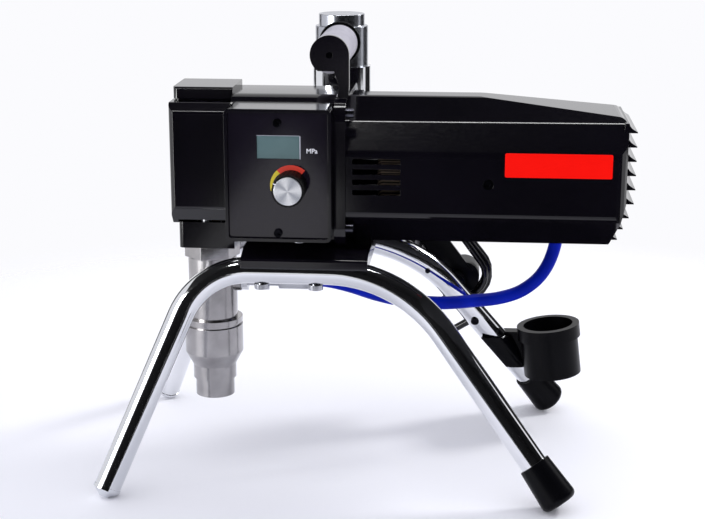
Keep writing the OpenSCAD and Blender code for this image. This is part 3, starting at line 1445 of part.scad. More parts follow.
// The gland sits on the sloping lower face of the motor cover's far side
gland_x = 40;
gland_slope = atan2(cover_side_z0 - cover_low_z, cover_half_w - cover_low_half_w);
gland_out = [0, sin(gland_slope), -cos(gland_slope)];
gland_seat = [gland_x, (cover_half_w + cover_low_half_w) / 2, (cover_side_z0 + cover_low_z) / 2];
gland_nut_h = 7;
gland_boot_l = 25;
gland_tip = gland_seat + gland_out * (gland_nut_h + gland_boot_l);
module cord_gland() {
    color("#101014") translate(gland_seat) rotate([gland_slope - 180, 0, 0]) {
        cylinder(h = gland_nut_h, d = 20, $fn = 6);
        translate([0, 0, gland_nut_h]) cylinder(h = gland_boot_l, d1 = 14, d2 = cord_d + 2.5);
    }
}
lead_gap = 1.5;
lead_points = [gland_tip, gland_tip + gland_out * cord_d, [40.5, 90, 205], [41.5, 103, 189],
               hank_points[0] - hank_down * cord_d, hank_points[0] - hank_down * lead_gap];
module cord_lead() { color("#08080c") swept_tube(smooth(lead_points, 3), cord_d, 8); }

stand_tube_near();
stand_tube_far();
front_leg_plugs();
rear_foot_tips();
base_bracket();
frame_bolts();
gear_housing();
front_cover();
front_top_cap();
pump_block();
handle_frame();
handle_grip();
grip_rod();
flange_bolts();
motor_cover();
small_screws();
motor_stator();
motor_windings();
motor_rear_bell();
shaft_bearings();
motor_rotor();
motor_fan();
motor_pinion();
layshaft_gear();
crank_gear();
crank_roller();
drive_yoke();
yoke_guides();
piston_rod();
piston();
piston_seal();
outlet_ball();
packing_set();
packing_nut();
pump_lock_nut();
pump_cylinder();
foot_valve();
inlet_seat();
inlet_ball();
pump_outlet_fitting();
fluid_hose();
control_box();
control_panel();
display_window();
control_board();
pressure_knob();
knob_cap();
power_switch();
filter_manifold();
filter_bowl();
filter_element();
prime_valve();
prime_knob();
drip_cup();
hose_guide();
cord_bracket();
cord_gland();
cord_lead();
cord_hank();
cord_plug();
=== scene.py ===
"""The looks of an airless paint sprayer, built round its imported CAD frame."""

import json
import logging
import math
from dataclasses import dataclass, field
from enum import Enum

import bpy
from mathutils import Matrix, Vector


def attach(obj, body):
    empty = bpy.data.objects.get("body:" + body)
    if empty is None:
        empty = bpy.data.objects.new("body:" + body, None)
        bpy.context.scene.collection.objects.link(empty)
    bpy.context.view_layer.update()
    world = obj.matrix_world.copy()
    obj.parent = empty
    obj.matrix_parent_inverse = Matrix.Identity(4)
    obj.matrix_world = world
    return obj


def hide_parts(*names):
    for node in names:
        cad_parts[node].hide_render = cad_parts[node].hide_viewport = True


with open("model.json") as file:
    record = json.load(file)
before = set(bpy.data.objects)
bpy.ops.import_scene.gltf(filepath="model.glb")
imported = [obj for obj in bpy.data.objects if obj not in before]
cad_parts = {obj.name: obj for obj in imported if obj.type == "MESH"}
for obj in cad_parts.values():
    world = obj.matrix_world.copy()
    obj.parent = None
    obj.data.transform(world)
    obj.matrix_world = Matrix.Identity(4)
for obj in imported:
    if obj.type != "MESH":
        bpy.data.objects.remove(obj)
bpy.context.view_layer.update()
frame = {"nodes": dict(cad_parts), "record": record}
MM = 0.001
LOG = logging.getLogger("sprayer")
FRAME_BODY = "frame"
ARC_FACETS = 120
CORD_FACETS = 6
TUBE_FACETS = 14
# Blender's wave texture runs through this many radians in one unit of its scale
WAVE_RADIANS = 20
MOTTLE_STOPS = (0.35, 0.65)
LEAST_ROUGHNESS = 0.02
BUMP_STRENGTH = 0.6
# Welding distance in metres, and the angles in degrees that count as flat, as an edge and as a crease
WELD_M = 0.00001
FLAT_DEG = 1.0
BREAK_DEG = 28
EDGE_DEG = 40
CREASE_DEG = 35.0
NORMAL_WEIGHT = 50
# Print and plates, in millimetres
PRINT_THICK = 0.1
PRINT_LIFT = 0.06
ARC_RIM = 0.1
PLATE_EDGE = 0.3
PLATE_EDGE_SHARE = 0.4
Pair = tuple[float, float]
Point = tuple[float, float, float]
Quad = tuple[float, float, float, float]
Piece = bpy.types.Object
Tree = bpy.types.NodeTree
Socket = bpy.types.NodeSocket


class Axis(Enum):
    """The direction in which a surface was turned, drawn or laid."""

    X = 0
    Y = 1
    Z = 2


def linear(code: str) -> Quad:
    """Turns an sRGB hex colour into linear RGBA.

    Args:
        code: the colour as "#rrggbb".

    Returns:
        Linear red, green and blue, and an alpha of 1.
    """
    parts = [int(code[i:i + 2], 16) / 255 for i in (1, 3, 5)]
    rgb = [c / 12.92 if c <= 0.04045 else ((c + 0.055) / 1.055) ** 2.4 for c in parts]
    return rgb[0], rgb[1], rgb[2], 1.0


def add_node(tree: Tree, kind: str, settings: dict | None = None,
             links: dict | None = None) -> bpy.types.Node:
    """Adds a shader node with its settings and links.

    Args:
        tree: the node tree it goes into.
        kind: the node's type name.
        settings: attributes of the node, or default values of its inputs.
        links: input name or index to the socket that feeds it.

    Returns:
        The new node.
    """
    node = tree.nodes.new(kind)
    for key, value in (settings or {}).items():
        if isinstance(key, str) and hasattr(node, key):
            setattr(node, key, value)
        else:
            node.inputs[key].default_value = value
    for key, source in (links or {}).items():
        tree.links.new(source, node.inputs[key])
    return node


def leave_edit() -> None:
    """Goes back from edit mode to object mode."""
    bpy.ops.object.mode_set(mode="OBJECT")


def deselect() -> None:
    """Leaves edit mode and deselects everything."""
    if bpy.context.object and bpy.context.object.mode != "OBJECT":
        leave_edit()
    bpy.ops.object.select_all(action="DESELECT")


def activate(obj: Piece) -> None:
    """Makes one object the only selected and the active one."""
    deselect()
    obj.select_set(True)
    bpy.context.view_layer.objects.active = obj


def settle(obj: Piece, name: str) -> Piece:
    """Names an object and moves its place, turn and scale into its mesh.

    Args:
        obj: the object to settle.
        name: its piece name.

    Returns:
        The same object, at the origin.
    """
    obj.name = name
    obj.data.name = name
    activate(obj)
    bpy.ops.object.transform_apply(location=True, rotation=True, scale=True)
    return obj


def apply_modifier(obj: Piece, kind: str, settings: dict) -> None:
    """Adds a modifier with its settings and applies it.

    Args:
        obj: the object that gets it.
        kind: the modifier's type name.
        settings: its attributes.
    """
    activate(obj)
    modifier = obj.modifiers.new(kind.lower(), kind)
    for key, value in settings.items():
        setattr(modifier, key, value)
    bpy.ops.object.modifier_apply(modifier=modifier.name)


def edit(obj: Piece) -> None:
    """Opens one object in edit mode with its whole mesh selected."""
    activate(obj)
    bpy.ops.object.mode_set(mode="EDIT")
    bpy.ops.mesh.select_all(action="SELECT")


def smooth(obj: Piece, angle: float = 32.0) -> None:
    """Shades an object smooth where its faces meet at less than an angle in degrees."""
    activate(obj)
    bpy.ops.object.shade_smooth_by_angle(angle=math.radians(angle))


def dress(obj: Piece, material: bpy.types.Material) -> None:
    """Gives an object one material all over."""
    obj.data.materials.clear()
    obj.data.materials.append(material)


@dataclass(frozen=True)
class Finish:
    """A surface: what it is made of, how it was made and what that gives the eye."""

    name: str
    colour: str
    roughness: float
    metallic: float = 0.0
    shade: str = ""
    coat: float = 0.0
    coat_roughness: float = 0.05
    ior: float = 1.5
    mottle_mm: float = 40.0
    grain_mm: float = 1.0
    bump_mm: float = 0.0
    rough_spread: float = 0.06

    def coordinates(self, tree: Tree) -> Socket:
        """Returns the piece's own coordinates, in metres."""
        return add_node(tree, "ShaderNodeTexCoord").outputs["Object"]

    def grain(self, tree: Tree, where: Socket) -> Socket:
        """The fine relief of the surface, as heights from 0 to 1.

        Args:
            tree: the material's node tree.
            where: the coordinates it lies on.

        Returns:
            The socket with the heights.
        """
        noise = add_node(tree, "ShaderNodeTexNoise", {"Scale": 1 / (self.grain_mm * MM), "Detail": 2.0},
                         {"Vector": where})
        return noise.outputs["Fac"]

    def tint(self, tree: Tree, where: Socket,
             relief: Socket) -> Socket:
        """The colour over the surface, mottled between two close shades.

        Args:
            tree: the material's node tree.
            where: the coordinates it lies on.
            relief: the heights of the fine relief, which this colour doesn't use.

        Returns:
            The socket with the colour.
        """
        noise = add_node(tree, "ShaderNodeTexNoise", {"Scale": 1 / (self.mottle_mm * MM), "Detail": 4.0},
                         {"Vector": where})
        ramp = add_node(tree, "ShaderNodeValToRGB", {}, {"Fac": noise.outputs["Fac"]})
        codes = (self.shade or self.colour, self.colour)
        for element, place, code in zip(ramp.color_ramp.elements, MOTTLE_STOPS, codes):
            element.position = place
            element.color = linear(code)
        return ramp.outputs["Color"]

    def make(self) -> bpy.types.Material:
        """Builds the material.

        Returns:
            The finished material.
        """
        material = bpy.data.materials.new(self.name)
        material.use_nodes = True
        tree = material.node_tree
        tree.nodes.clear()
        where = self.coordinates(tree)
        relief = self.grain(tree, where)
        rough = add_node(tree, "ShaderNodeMapRange",
                         {"To Min": max(LEAST_ROUGHNESS, self.roughness - self.rough_spread),
                          "To Max": self.roughness + self.rough_spread}, {"Value": relief})
        shader = add_node(tree, "ShaderNodeBsdfPrincipled",
                          {"Metallic": self.metallic, "IOR": self.ior, "Coat Weight": self.coat,
                           "Coat Roughness": self.coat_roughness},
                          {"Base Color": self.tint(tree, where, relief),
                           "Roughness": rough.outputs["Result"]})
        if self.bump_mm > 0:
            bump = add_node(tree, "ShaderNodeBump",
                            {"Strength": BUMP_STRENGTH, "Distance": self.bump_mm * MM},
                            {"Height": relief})
            tree.links.new(bump.outputs["Normal"], shader.inputs["Normal"])
        add_node(tree, "ShaderNodeOutputMaterial", {}, {"Surface": shader.outputs["BSDF"]})
        return material


def wave_scale(pitch_mm: float) -> float:
    """Returns the wave texture's scale for lines at a pitch in millimetres."""
    return 2 * math.pi / (WAVE_RADIANS * pitch_mm * MM)


@dataclass(frozen=True)
class LinedFinish(Finish):
    """A surface with fine lines across one axis, as turning or winding leaves them."""

    axis: Axis = Axis.Z
    pitch_mm: float = 0.8
    slant: float = 0.0
    waver: float = 1.5

    def grain(self, tree: Tree, where: Socket) -> Socket:
        """The lines, as heights from 0 to 1.

        Args:
            tree: the material's node tree.
            where: the coordinates they lie on.

        Returns:
            The socket with the heights.
        """
        turn = [0.0, 0.0, 0.0]
        turn[(self.axis.value + 1) % 3] = math.radians(self.slant)
        mapped = add_node(tree, "ShaderNodeMapping", {"Rotation": turn}, {"Vector": where})
        wave = add_node(tree, "ShaderNodeTexWave",
                        {"wave_type": "BANDS", "bands_direction": self.axis.name,
                         "Scale": wave_scale(self.pitch_mm), "Distortion": self.waver,
                         "Detail": 2.0, "Detail Scale": 0.6}, {"Vector": mapped.outputs["Vector"]})
        return wave.outputs["Fac"]


@dataclass(frozen=True)
class WoundFinish(LinedFinish):
    """Enamelled wire: the strands in the wire's colour, with painted shade darkening the gaps between them.
    """

    def tint(self, tree: Tree, where: Socket,
             relief: Socket) -> Socket:
        """The colour of the strands, with painted shade in the gaps between them.

        Args:
            tree: the material's node tree.
            where: the coordinates it lies on, which this colour doesn't use.
            relief: the heights of the strands.

        Returns:
            The socket with the colour.
        """
        ramp = add_node(tree, "ShaderNodeValToRGB", {}, {"Fac": relief})
        # the dark end of the ramp is painted shade in the gaps between the strands
        ramp.color_ramp.elements[0].color = linear(self.shade)
        ramp.color_ramp.elements[1].color = linear(self.colour)
        return ramp.outputs["Color"]


@dataclass(frozen=True)
class SpunFinish(Finish):
    """A spun metal face: rings about its middle, with bright and dull sectors across them painted into its
    colour as painted highlights.
    """

    centre_mm: Point = (0.0, 0.0, 0.0)
    ring_mm: float = 0.7
    # Where the painted highlight sectors and the duller sectors between them lie, as shares of a full turn
    highlight_wedges: tuple[float, ...] = (0.10, 0.2, 0.33, 0.48, 0.60, 0.72, 0.86)

    def coordinates(self, tree: Tree) -> Socket:
        """Returns coordinates about the middle of the face, turned to face along Z."""
        where = add_node(tree, "ShaderNodeTexCoord").outputs["Object"]
        shift = add_node(tree, "ShaderNodeMapping",
                         {"Location": [-c * MM for c in self.centre_mm]}, {"Vector": where})
        turned = add_node(tree, "ShaderNodeMapping", {"Rotation": (math.radians(90), 0, 0)},
                          {"Vector": shift.outputs["Vector"]})
        return turned.outputs["Vector"]

    def grain(self, tree: Tree, where: Socket) -> Socket:
        """The rings, as heights from 0 to 1.

        Args:
            tree: the material's node tree.
            where: the coordinates they lie on.

        Returns:
            The socket with the heights.
        """
        wave = add_node(tree, "ShaderNodeTexWave",
                        {"wave_type": "RINGS", "rings_direction": "Z",
                         "Scale": wave_scale(self.ring_mm), "Distortion": 0.4},
                        {"Vector": where})
        return wave.outputs["Fac"]

    def tint(self, tree: Tree, where: Socket,
             relief: Socket) -> Socket:
        """The painted highlights of the spun face: bright and dull sectors round its middle.

        Args:
            tree: the material's node tree.
            where: the coordinates they lie on.
            relief: the heights of the rings, which this colour doesn't use.

        Returns:
            The socket with the colour.
        """
        sweep = add_node(tree, "ShaderNodeTexGradient", {"gradient_type": "RADIAL"}, {"Vector": where})
        ramp = add_node(tree, "ShaderNodeValToRGB", {}, {"Fac": sweep.outputs["Fac"]})
        ramp.color_ramp.interpolation = "EASE"
        elements = ramp.color_ramp.elements
        for element in elements:
            element.color = linear(self.colour)
        # the sectors alternate between a painted highlight and a duller painted tone
        for i, place in enumerate(self.highlight_wedges):
            elements.new(place).color = linear(self.colour if i % 2 else self.shade)
        return ramp.outputs["Color"]


class Surface(Enum):
    """Every finish on the sprayer."""

    # Powder coat on cast aluminium: deep gloss black with a trace of violet and slight orange peel
    CASTING = Finish("powder_coated_aluminium_casting", "#0c0911", 0.12, shade="#07060b", ior=1.46,
                     mottle_mm=60, grain_mm=2.2, bump_mm=0.008, rough_spread=0.04)
    # Injection-moulded ABS: even gloss black, faint flow marks
    COVER = Finish("moulded_gloss_abs", "#0b0910", 0.11, shade="#07060b", ior=1.46,
                   mottle_mm=90, grain_mm=3.0, bump_mm=0.006, rough_spread=0.04)
    # Printed acrylic sheet on the box: glassy, slightly violet grey
    PANEL = Finish("printed_acrylic_sheet", "#15111c", 0.1, shade="#110d17",
                   mottle_mm=50, grain_mm=4.0, rough_spread=0.03)
    # Bright chrome plate on bent steel tube: a near mirror with a little haze
    CHROME = Finish("chrome_plated_steel_tube", "#e4e5e8", 0.07, 1.0, shade="#d4d6da",
                    mottle_mm=80, grain_mm=5.0, rough_spread=0.025)
    # Stainless steel off the lathe: satin with fine rings, drawn coarser than real to show
    STAINLESS = LinedFinish("turned_stainless_steel", "#a9a7a8", 0.2, 1.0, shade="#8d8b8c",
                            mottle_mm=30, bump_mm=0.012, axis=Axis.Z, pitch_mm=0.9)
    # The same steel on fittings that were turned along X
    FITTING = LinedFinish("turned_steel_fitting", "#b9babf", 0.2, 1.0, shade="#9c9ea4",
                          mottle_mm=20, bump_mm=0.01, axis=Axis.X, pitch_mm=0.9)
    # Satin anodised aluminium of the filter's upper parts
    SATIN = LinedFinish("satin_anodised_aluminium", "#b2b4bc", 0.22, 1.0, shade="#9da0a8",
                        mottle_mm=40, bump_mm=0.006, axis=Axis.Z, pitch_mm=0.7)
    # Ground and hardened steel of shafts, gears and bearings
    STEEL = LinedFinish("ground_gear_steel", "#b2b3b6", 0.28, 1.0, shade="#8f9094",
                        mottle_mm=12, bump_mm=0.006, axis=Axis.X, pitch_mm=0.8)
    # Cast aluminium of the yoke and the motor's end bell: dull and grainy
    ALUMINIUM = Finish("sand_cast_aluminium", "#b9bbbf", 0.45, 1.0, shade="#a2a4a8",
                       mottle_mm=15, grain_mm=0.8, bump_mm=0.05)
    # Black oxide on steel screws: dark satin
    OXIDE = Finish("black_oxide_steel", "#55555e", 0.26, 1.0, shade="#3b3b43", mottle_mm=8,
                   grain_mm=0.8, bump_mm=0.01)
    # Oiled black oxide of the small screws: nearly black
    SCREW = Finish("black_oxide_screw_steel", "#1b1b20", 0.24, 1.0, shade="#101014", mottle_mm=6,
                   grain_mm=0.8, bump_mm=0.01)
    # Moulded rubber of feet and cup: satin black, fine grain
    RUBBER = Finish("moulded_rubber", "#07070b", 0.3, shade="#050508", ior=1.18, mottle_mm=25,
                    grain_mm=0.7, bump_mm=0.03)
    # Moulded sleeve of the grip: pale lavender grey, mottled a little darker
    GRIP = Finish("ribbed_pale_grip", "#b9b6c0", 0.42, shade="#a7a4b0", mottle_mm=18,
                  grain_mm=0.6, bump_mm=0.03)
    # Nylon jacket of the fluid hose: saturated blue, smooth
    HOSE = Finish("extruded_blue_nylon", "#031fad", 0.34, shade="#031996", ior=1.15, mottle_mm=30,
                  grain_mm=2.0, bump_mm=0.004)
    # PVC jacket of the mains lead: black with a soft shine
    CORD = Finish("extruded_black_pvc", "#0a0a0e", 0.2, shade="#060609", mottle_mm=15,
                  grain_mm=1.2, bump_mm=0.02)
    # Enamelled copper wire of the motor's windings, with painted shade between the strands
    COPPER = WoundFinish("enamelled_copper_wire", "#8d7d6c", 0.4, 0.6, shade="#120b07", bump_mm=0.4,
                         axis=Axis.Z, pitch_mm=2.2, slant=38, waver=0.5)
    # Varnished silicon-steel sheets of the stator core
    CORE = LinedFinish("varnished_core_laminations", "#4a4c52", 0.5, 0.6, shade="#34363b",
                       bump_mm=0.05, axis=Axis.X, pitch_mm=1.0)
    # Display film: grey-green, softly lit
    DISPLAY = Finish("liquid_crystal_film", "#5b7577", 0.2, shade="#516a6c", coat=0.2,
                     mottle_mm=60, grain_mm=0.6)
    # Fibreglass circuit board under green solder mask
    BOARD = Finish("solder_masked_fibreglass", "#0f5a2e", 0.4, shade="#0b4523", grain_mm=1.5,
                   bump_mm=0.02)
    # Woven stainless mesh of the filter element
    MESH = LinedFinish("woven_stainless_mesh", "#b8bcc2", 0.4, 1.0, shade="#7c8086", bump_mm=0.15,
                       axis=Axis.Z, pitch_mm=1.0)
    # Machined brass of the packing nut
    BRASS = LinedFinish("turned_brass", "#c9a457", 0.3, 1.0, shade="#a88540", bump_mm=0.01,
                        axis=Axis.Z, pitch_mm=0.8)
    # Leather and polymer rings of the packings
    PACKING = Finish("packing_polymer", "#d8cdb2", 0.55, shade="#c2b593", grain_mm=0.8, bump_mm=0.05)
    # Glass-filled nylon of the fan
    NYLON = Finish("glass_filled_nylon", "#2c2d31", 0.5, shade="#222327", grain_mm=0.8, bump_mm=0.03)
    # Phenolic resin of the pressure knob: dull black
    PHENOLIC = Finish("moulded_black_phenolic", "#09080b", 0.5, shade="#060507", ior=1.3,
                      grain_mm=0.9, bump_mm=0.02)
    # Polished acetal of the prime valve's knob
    RED_KNOB = Finish("moulded_red_acetal", "#b02323", 0.3, shade="#971b1b", coat=0.2, grain_mm=1.5,
                      bump_mm=0.02)
    # Enamelled badge plate
    BADGE = Finish("red_enamel_plate", "#ff1006", 0.5, shade="#fa0e05", ior=1.12, mottle_mm=50,
                   grain_mm=2.0)
    # Screen inks on the panel
    RED_INK = Finish("red_screen_ink", "#e23a24", 0.4, shade="#d63320", grain_mm=0.6)
    YELLOW_INK = Finish("yellow_screen_ink", "#e8d32a", 0.4, shade="#dcc524", grain_mm=0.6)
    # Pale strips standing for the light caught on the cut edges of the acrylic round the display: a painted
    # highlight
    EDGE_HIGHLIGHT = Finish("painted_edge_highlight", "#c6c9d4", 0.2, shade="#b4b7c4", grain_mm=0.8)
    WHITE_INK = Finish("white_screen_ink", "#eeeef2", 0.4, shade="#e2e2e8", grain_mm=0.6)
    # Spun and diamond-cut face of the knob's cap, with painted highlight sectors in its colour
    SPUN = SpunFinish("spun_aluminium_painted_highlights", "#f4f5f7", 0.26, 0.55, shade="#b6b9c0", bump_mm=0.01,
                      centre_mm=(-70.25, -116.9, 294.0))


class Palette:
    """Makes each material once, when it is first asked for."""

    def __init__(self) -> None:
        """Starts with no material made."""
        self.made: dict[Surface, bpy.types.Material] = {}

    def __getitem__(self, surface: Surface) -> bpy.types.Material:
        """Returns the material of a finish, and makes it if need be."""
        if surface not in self.made:
            self.made[surface] = surface.value.make()
        return self.made[surface]


PALETTE = Palette()


@dataclass
class Studio:
    """The camera, the floor and the light, which aren't part of the sprayer."""

    camera_at: Point = (0.10955, -1.49097, 0.587)
    azimuth: float = 5.0
    elevation: float = 14.45
    lens: float = 79.15
    sensor: float = 36.0
    floor_size: float = 4.0
    floor_fade: Pair = (0.6, 1.0)
    # Colour and roughness of the paper and the dark cloth
    paper: tuple[str, float] = ("#f6f6fb", 0.7)
    velvet: tuple[str, float] = ("#060508", 0.9)
    # Colour and strength of the world, as it lights and as it is seen
    fill: tuple[str, float] = ("#eeeff6", 1.15)
    backdrop: tuple[str, float] = ("#fbfbfe", 1.0)
    # Name, place, turn in degrees and size. The gap between the floor's flags lets the panel mirror paper
    flags: list[tuple[str, Point, Point, Pair]] = field(default_factory=lambda: [
        ("floor_flag_right", (1.235, -1.9, -0.02), (0, 0, 0), (2.73, 2.6)),
        ("floor_flag_middle", (-0.24, -2.31, -0.02), (0, 0, -14), (0.25, 1.8)),
        ("floor_flag_left", (-1.078, -1.9, -0.02), (0, 0, 0), (1.445, 2.6)),
        ("front_flag", (0.2, -3.2, 1.2), (90, 0, 0), (4.8, 2.4)),
        ("top_flag", (0.0, -1.0, 2.4), (0, 0, 0), (5.2, 4.4)),
        ("right_flag", (2.6, -1.35, 1.2), (0, 90, 0), (2.4, 3.7)),
        ("left_flag", (-2.0, 1.7, 1.2), (90, 0, 60), (0.9, 2.4)),
        # These two dark sheets under the motor stand in for the shade beneath it, as its glossy faces see
        # it: painted shade
        ("under_flag", (0.11, 0.0, 0.224), (0, 0, 0), (0.25, 0.13)),
        ("slope_flag", (0.155, -0.11, 0.193), (0, 0, 0), (0.2, 0.07)),
        ("back_flag", (1.35, 1.3, 0.6), (90, 0, -45), (1.3, 1.2)),
    ])
    # Name, place, size and watts of the lamps
    key: tuple[str, Point, Pair, float] = (
        "key_softbox", (1.5, 0.9, 1.45), (0.45, 0.45), 19.0)
    strips: list[tuple[str, Point, Pair, float]] = field(default_factory=lambda: [
        ("top_strip", (0.1, -0.12, 2.2), (2.4, 0.16), 26.0),
        ("left_panel", (-0.9, -0.6, 0.42), (0.4, 0.8), 14.0),
    ])
    aim: Point = (0.0, 0.0, 0.25)

    def place_camera(self) -> None:
        """Puts the camera where the photograph was taken."""
        data = bpy.data.cameras.new("camera")
        data.lens = self.lens
        data.sensor_width = self.sensor
        camera = bpy.data.objects.new("camera", data)
        camera.location = self.camera_at
        camera.rotation_euler = (math.radians(90 - self.elevation), 0, math.radians(self.azimuth))
        bpy.context.scene.collection.objects.link(camera)
        bpy.context.scene.camera = camera

    def lay_floor(self) -> None:
        """Lays a plain pale floor that keeps the object's shadow and fades into the white round it."""
        deselect()
        bpy.ops.mesh.primitive_plane_add(size=self.floor_size)
        floor = settle(bpy.context.object, "floor")
        material = bpy.data.materials.new("pale_paper_floor")
        material.use_nodes = True
        tree = material.node_tree
        tree.nodes.clear()
        where = add_node(tree, "ShaderNodeTexCoord").outputs["Object"]
        away = add_node(tree, "ShaderNodeVectorMath", {"operation": "LENGTH"}, {0: where})
        near, far = self.floor_fade
        fade = add_node(tree, "ShaderNodeMapRange",
                        {"From Min": near, "From Max": far, "interpolation_type": "SMOOTHSTEP"},
                        {"Value": away.outputs["Value"]})
        colour, roughness = self.paper
        paper = add_node(tree, "ShaderNodeBsdfPrincipled",
                         {"Base Color": linear(colour), "Roughness": roughness})
        clear = add_node(tree, "ShaderNodeBsdfTransparent")
        mix = add_node(tree, "ShaderNodeMixShader", {},
                       {0: fade.outputs["Result"], 1: paper.outputs[0], 2: clear.outputs[0]})
        add_node(tree, "ShaderNodeOutputMaterial", {}, {"Surface": mix.outputs[0]})
        dress(floor, material)

    def hang_flags(self) -> None:
        """Sets dark cloths round the set, which only glossy faces see; the two under the motor are painted
        shade standing for the shade beneath it.
        """
        material = bpy.data.materials.new("dark_velvet")
        material.use_nodes = True
        shader = material.node_tree.nodes["Principled BSDF"]
        colour, roughness = self.velvet
        shader.inputs["Base Color"].default_value = linear(colour)
        shader.inputs["Roughness"].default_value = roughness
        for name, place, turn, size in self.flags:
            deselect()
            bpy.ops.mesh.primitive_plane_add(size=1, location=place,
                                             rotation=[math.radians(a) for a in turn])
            flag = bpy.context.object
            flag.scale = (*size, 1)
            settle(flag, name)
            dress(flag, material)
            flag.visible_camera = False
            flag.visible_diffuse = False
            flag.visible_shadow = False

    def lamp(self, name: str, place: Point, size: Pair, power: float) -> Piece:
        """A soft box that looks at the sprayer.

        Args:
            name: the lamp's name.
            place: where it stands.
            size: its width and height.
            power: its power in watts.

        Returns:
            The lamp.
        """
        data = bpy.data.lights.new(name, "AREA")
        data.shape = "RECTANGLE"
        data.size, data.size_y = size
        data.energy = power
        lamp = bpy.data.objects.new(name, data)
        lamp.location = place
        lamp.rotation_euler = (Vector(self.aim) - Vector(place)).to_track_quat("-Z", "Y").to_euler()
        bpy.context.scene.collection.objects.link(lamp)
        return lamp

    def light(self) -> None:
        """Lights the object with a soft key, strips for its edges and a white world."""
        self.lamp(*self.key)
        for strip in self.strips:
            self.lamp(*strip).visible_diffuse = False
        world = bpy.data.worlds.new("white_studio")
        bpy.context.scene.world = world
        world.use_nodes = True
        tree = world.node_tree
        tree.nodes.clear()
        path = add_node(tree, "ShaderNodeLightPath")
        seen = add_node(tree, "ShaderNodeMath", {"operation": "MAXIMUM"},
                        {0: path.outputs["Is Camera Ray"], 1: path.outputs["Is Glossy Ray"]})
        shown = add_node(tree, "ShaderNodeMath", {"operation": "MAXIMUM"},
                         {0: seen.outputs[0], 1: path.outputs["Is Transmission Ray"]})
        fill, plain = (add_node(tree, "ShaderNodeBackground", {"Color": linear(code), "Strength": strength})
                       for code, strength in (self.fill, self.backdrop))
        mix = add_node(tree, "ShaderNodeMixShader", {},
                       {0: shown.outputs[0], 1: fill.outputs[0], 2: plain.outputs[0]})
        add_node(tree, "ShaderNodeOutputWorld", {}, {"Surface": mix.outputs[0]})

    def build(self) -> None:
        """Sets up the whole studio."""
        bpy.context.scene.view_settings.view_transform = "Standard"
        self.place_camera()
        self.lay_floor()
        self.hang_flags()
        self.light()


def catmull(points: list[Vector], steps: int) -> list[Vector]:
    """A smooth curve through points.

    Args:
        points: the points it passes through.
        steps: how many stretches lie between two points.

    Returns:
        The points of the curve.
    """
    out = []
    last = len(points) - 1
    for i in range(last):
        a, b, c, d = points[max(i - 1, 0)], points[i], points[i + 1], points[min(i + 2, last)]
        for k in range(steps):
            t = k / steps
            out.append(0.5 * (2 * b + (c - a) * t + (2 * a - 5 * b + 4 * c - d) * t * t
                              + (3 * b - a - 3 * c + d) * t ** 3))
    return out + [points[last]]


def path_length(points: list[Vector]) -> float:
    """Returns the length of a line through points."""
    return sum((b - a).length for a, b in zip(points, points[1:]))


def cord_curve(name: str, points: list[Vector], diameter: float,
               material: bpy.types.Material) -> Piece:
    """A round cord along points, as a curve of one open spline.

    Args:
        name: the piece's name.
        points: its centreline, in metres.
        diameter: its diameter, in metres.
        material: its finish.

    Returns:
        The curve object.
    """
    data = bpy.data.curves.new(name, "CURVE")
    data.dimensions = "3D"
    data.bevel_depth = diameter / 2
    data.bevel_resolution = CORD_FACETS
    data.use_fill_caps = True
    spline = data.splines.new("POLY")
    spline.points.add(len(points) - 1)
    for point, place in zip(spline.points, points):
        point.co = (*place, 1.0)
    spline.use_smooth = True
    cord = bpy.data.objects.new(name, data)
    bpy.context.scene.collection.objects.link(cord)
    data.materials.append(material)
    return cord


def swept_tube(name: str, points: list[Vector], diameter: float) -> Piece:
    """A round bar along points, as a closed mesh.

    Args:
        name: the piece's name.
        points: its centreline, in metres.
        diameter: its diameter, in metres.

    Returns:
        The mesh object.
    """
    bar = cord_curve(name, points, diameter, PALETTE[Surface.CHROME])
    bar.data.bevel_resolution = TUBE_FACETS
    activate(bar)
    bpy.ops.object.convert(target="MESH")
    bar = bpy.context.object
    smooth(bar, EDGE_DEG)
    return bar


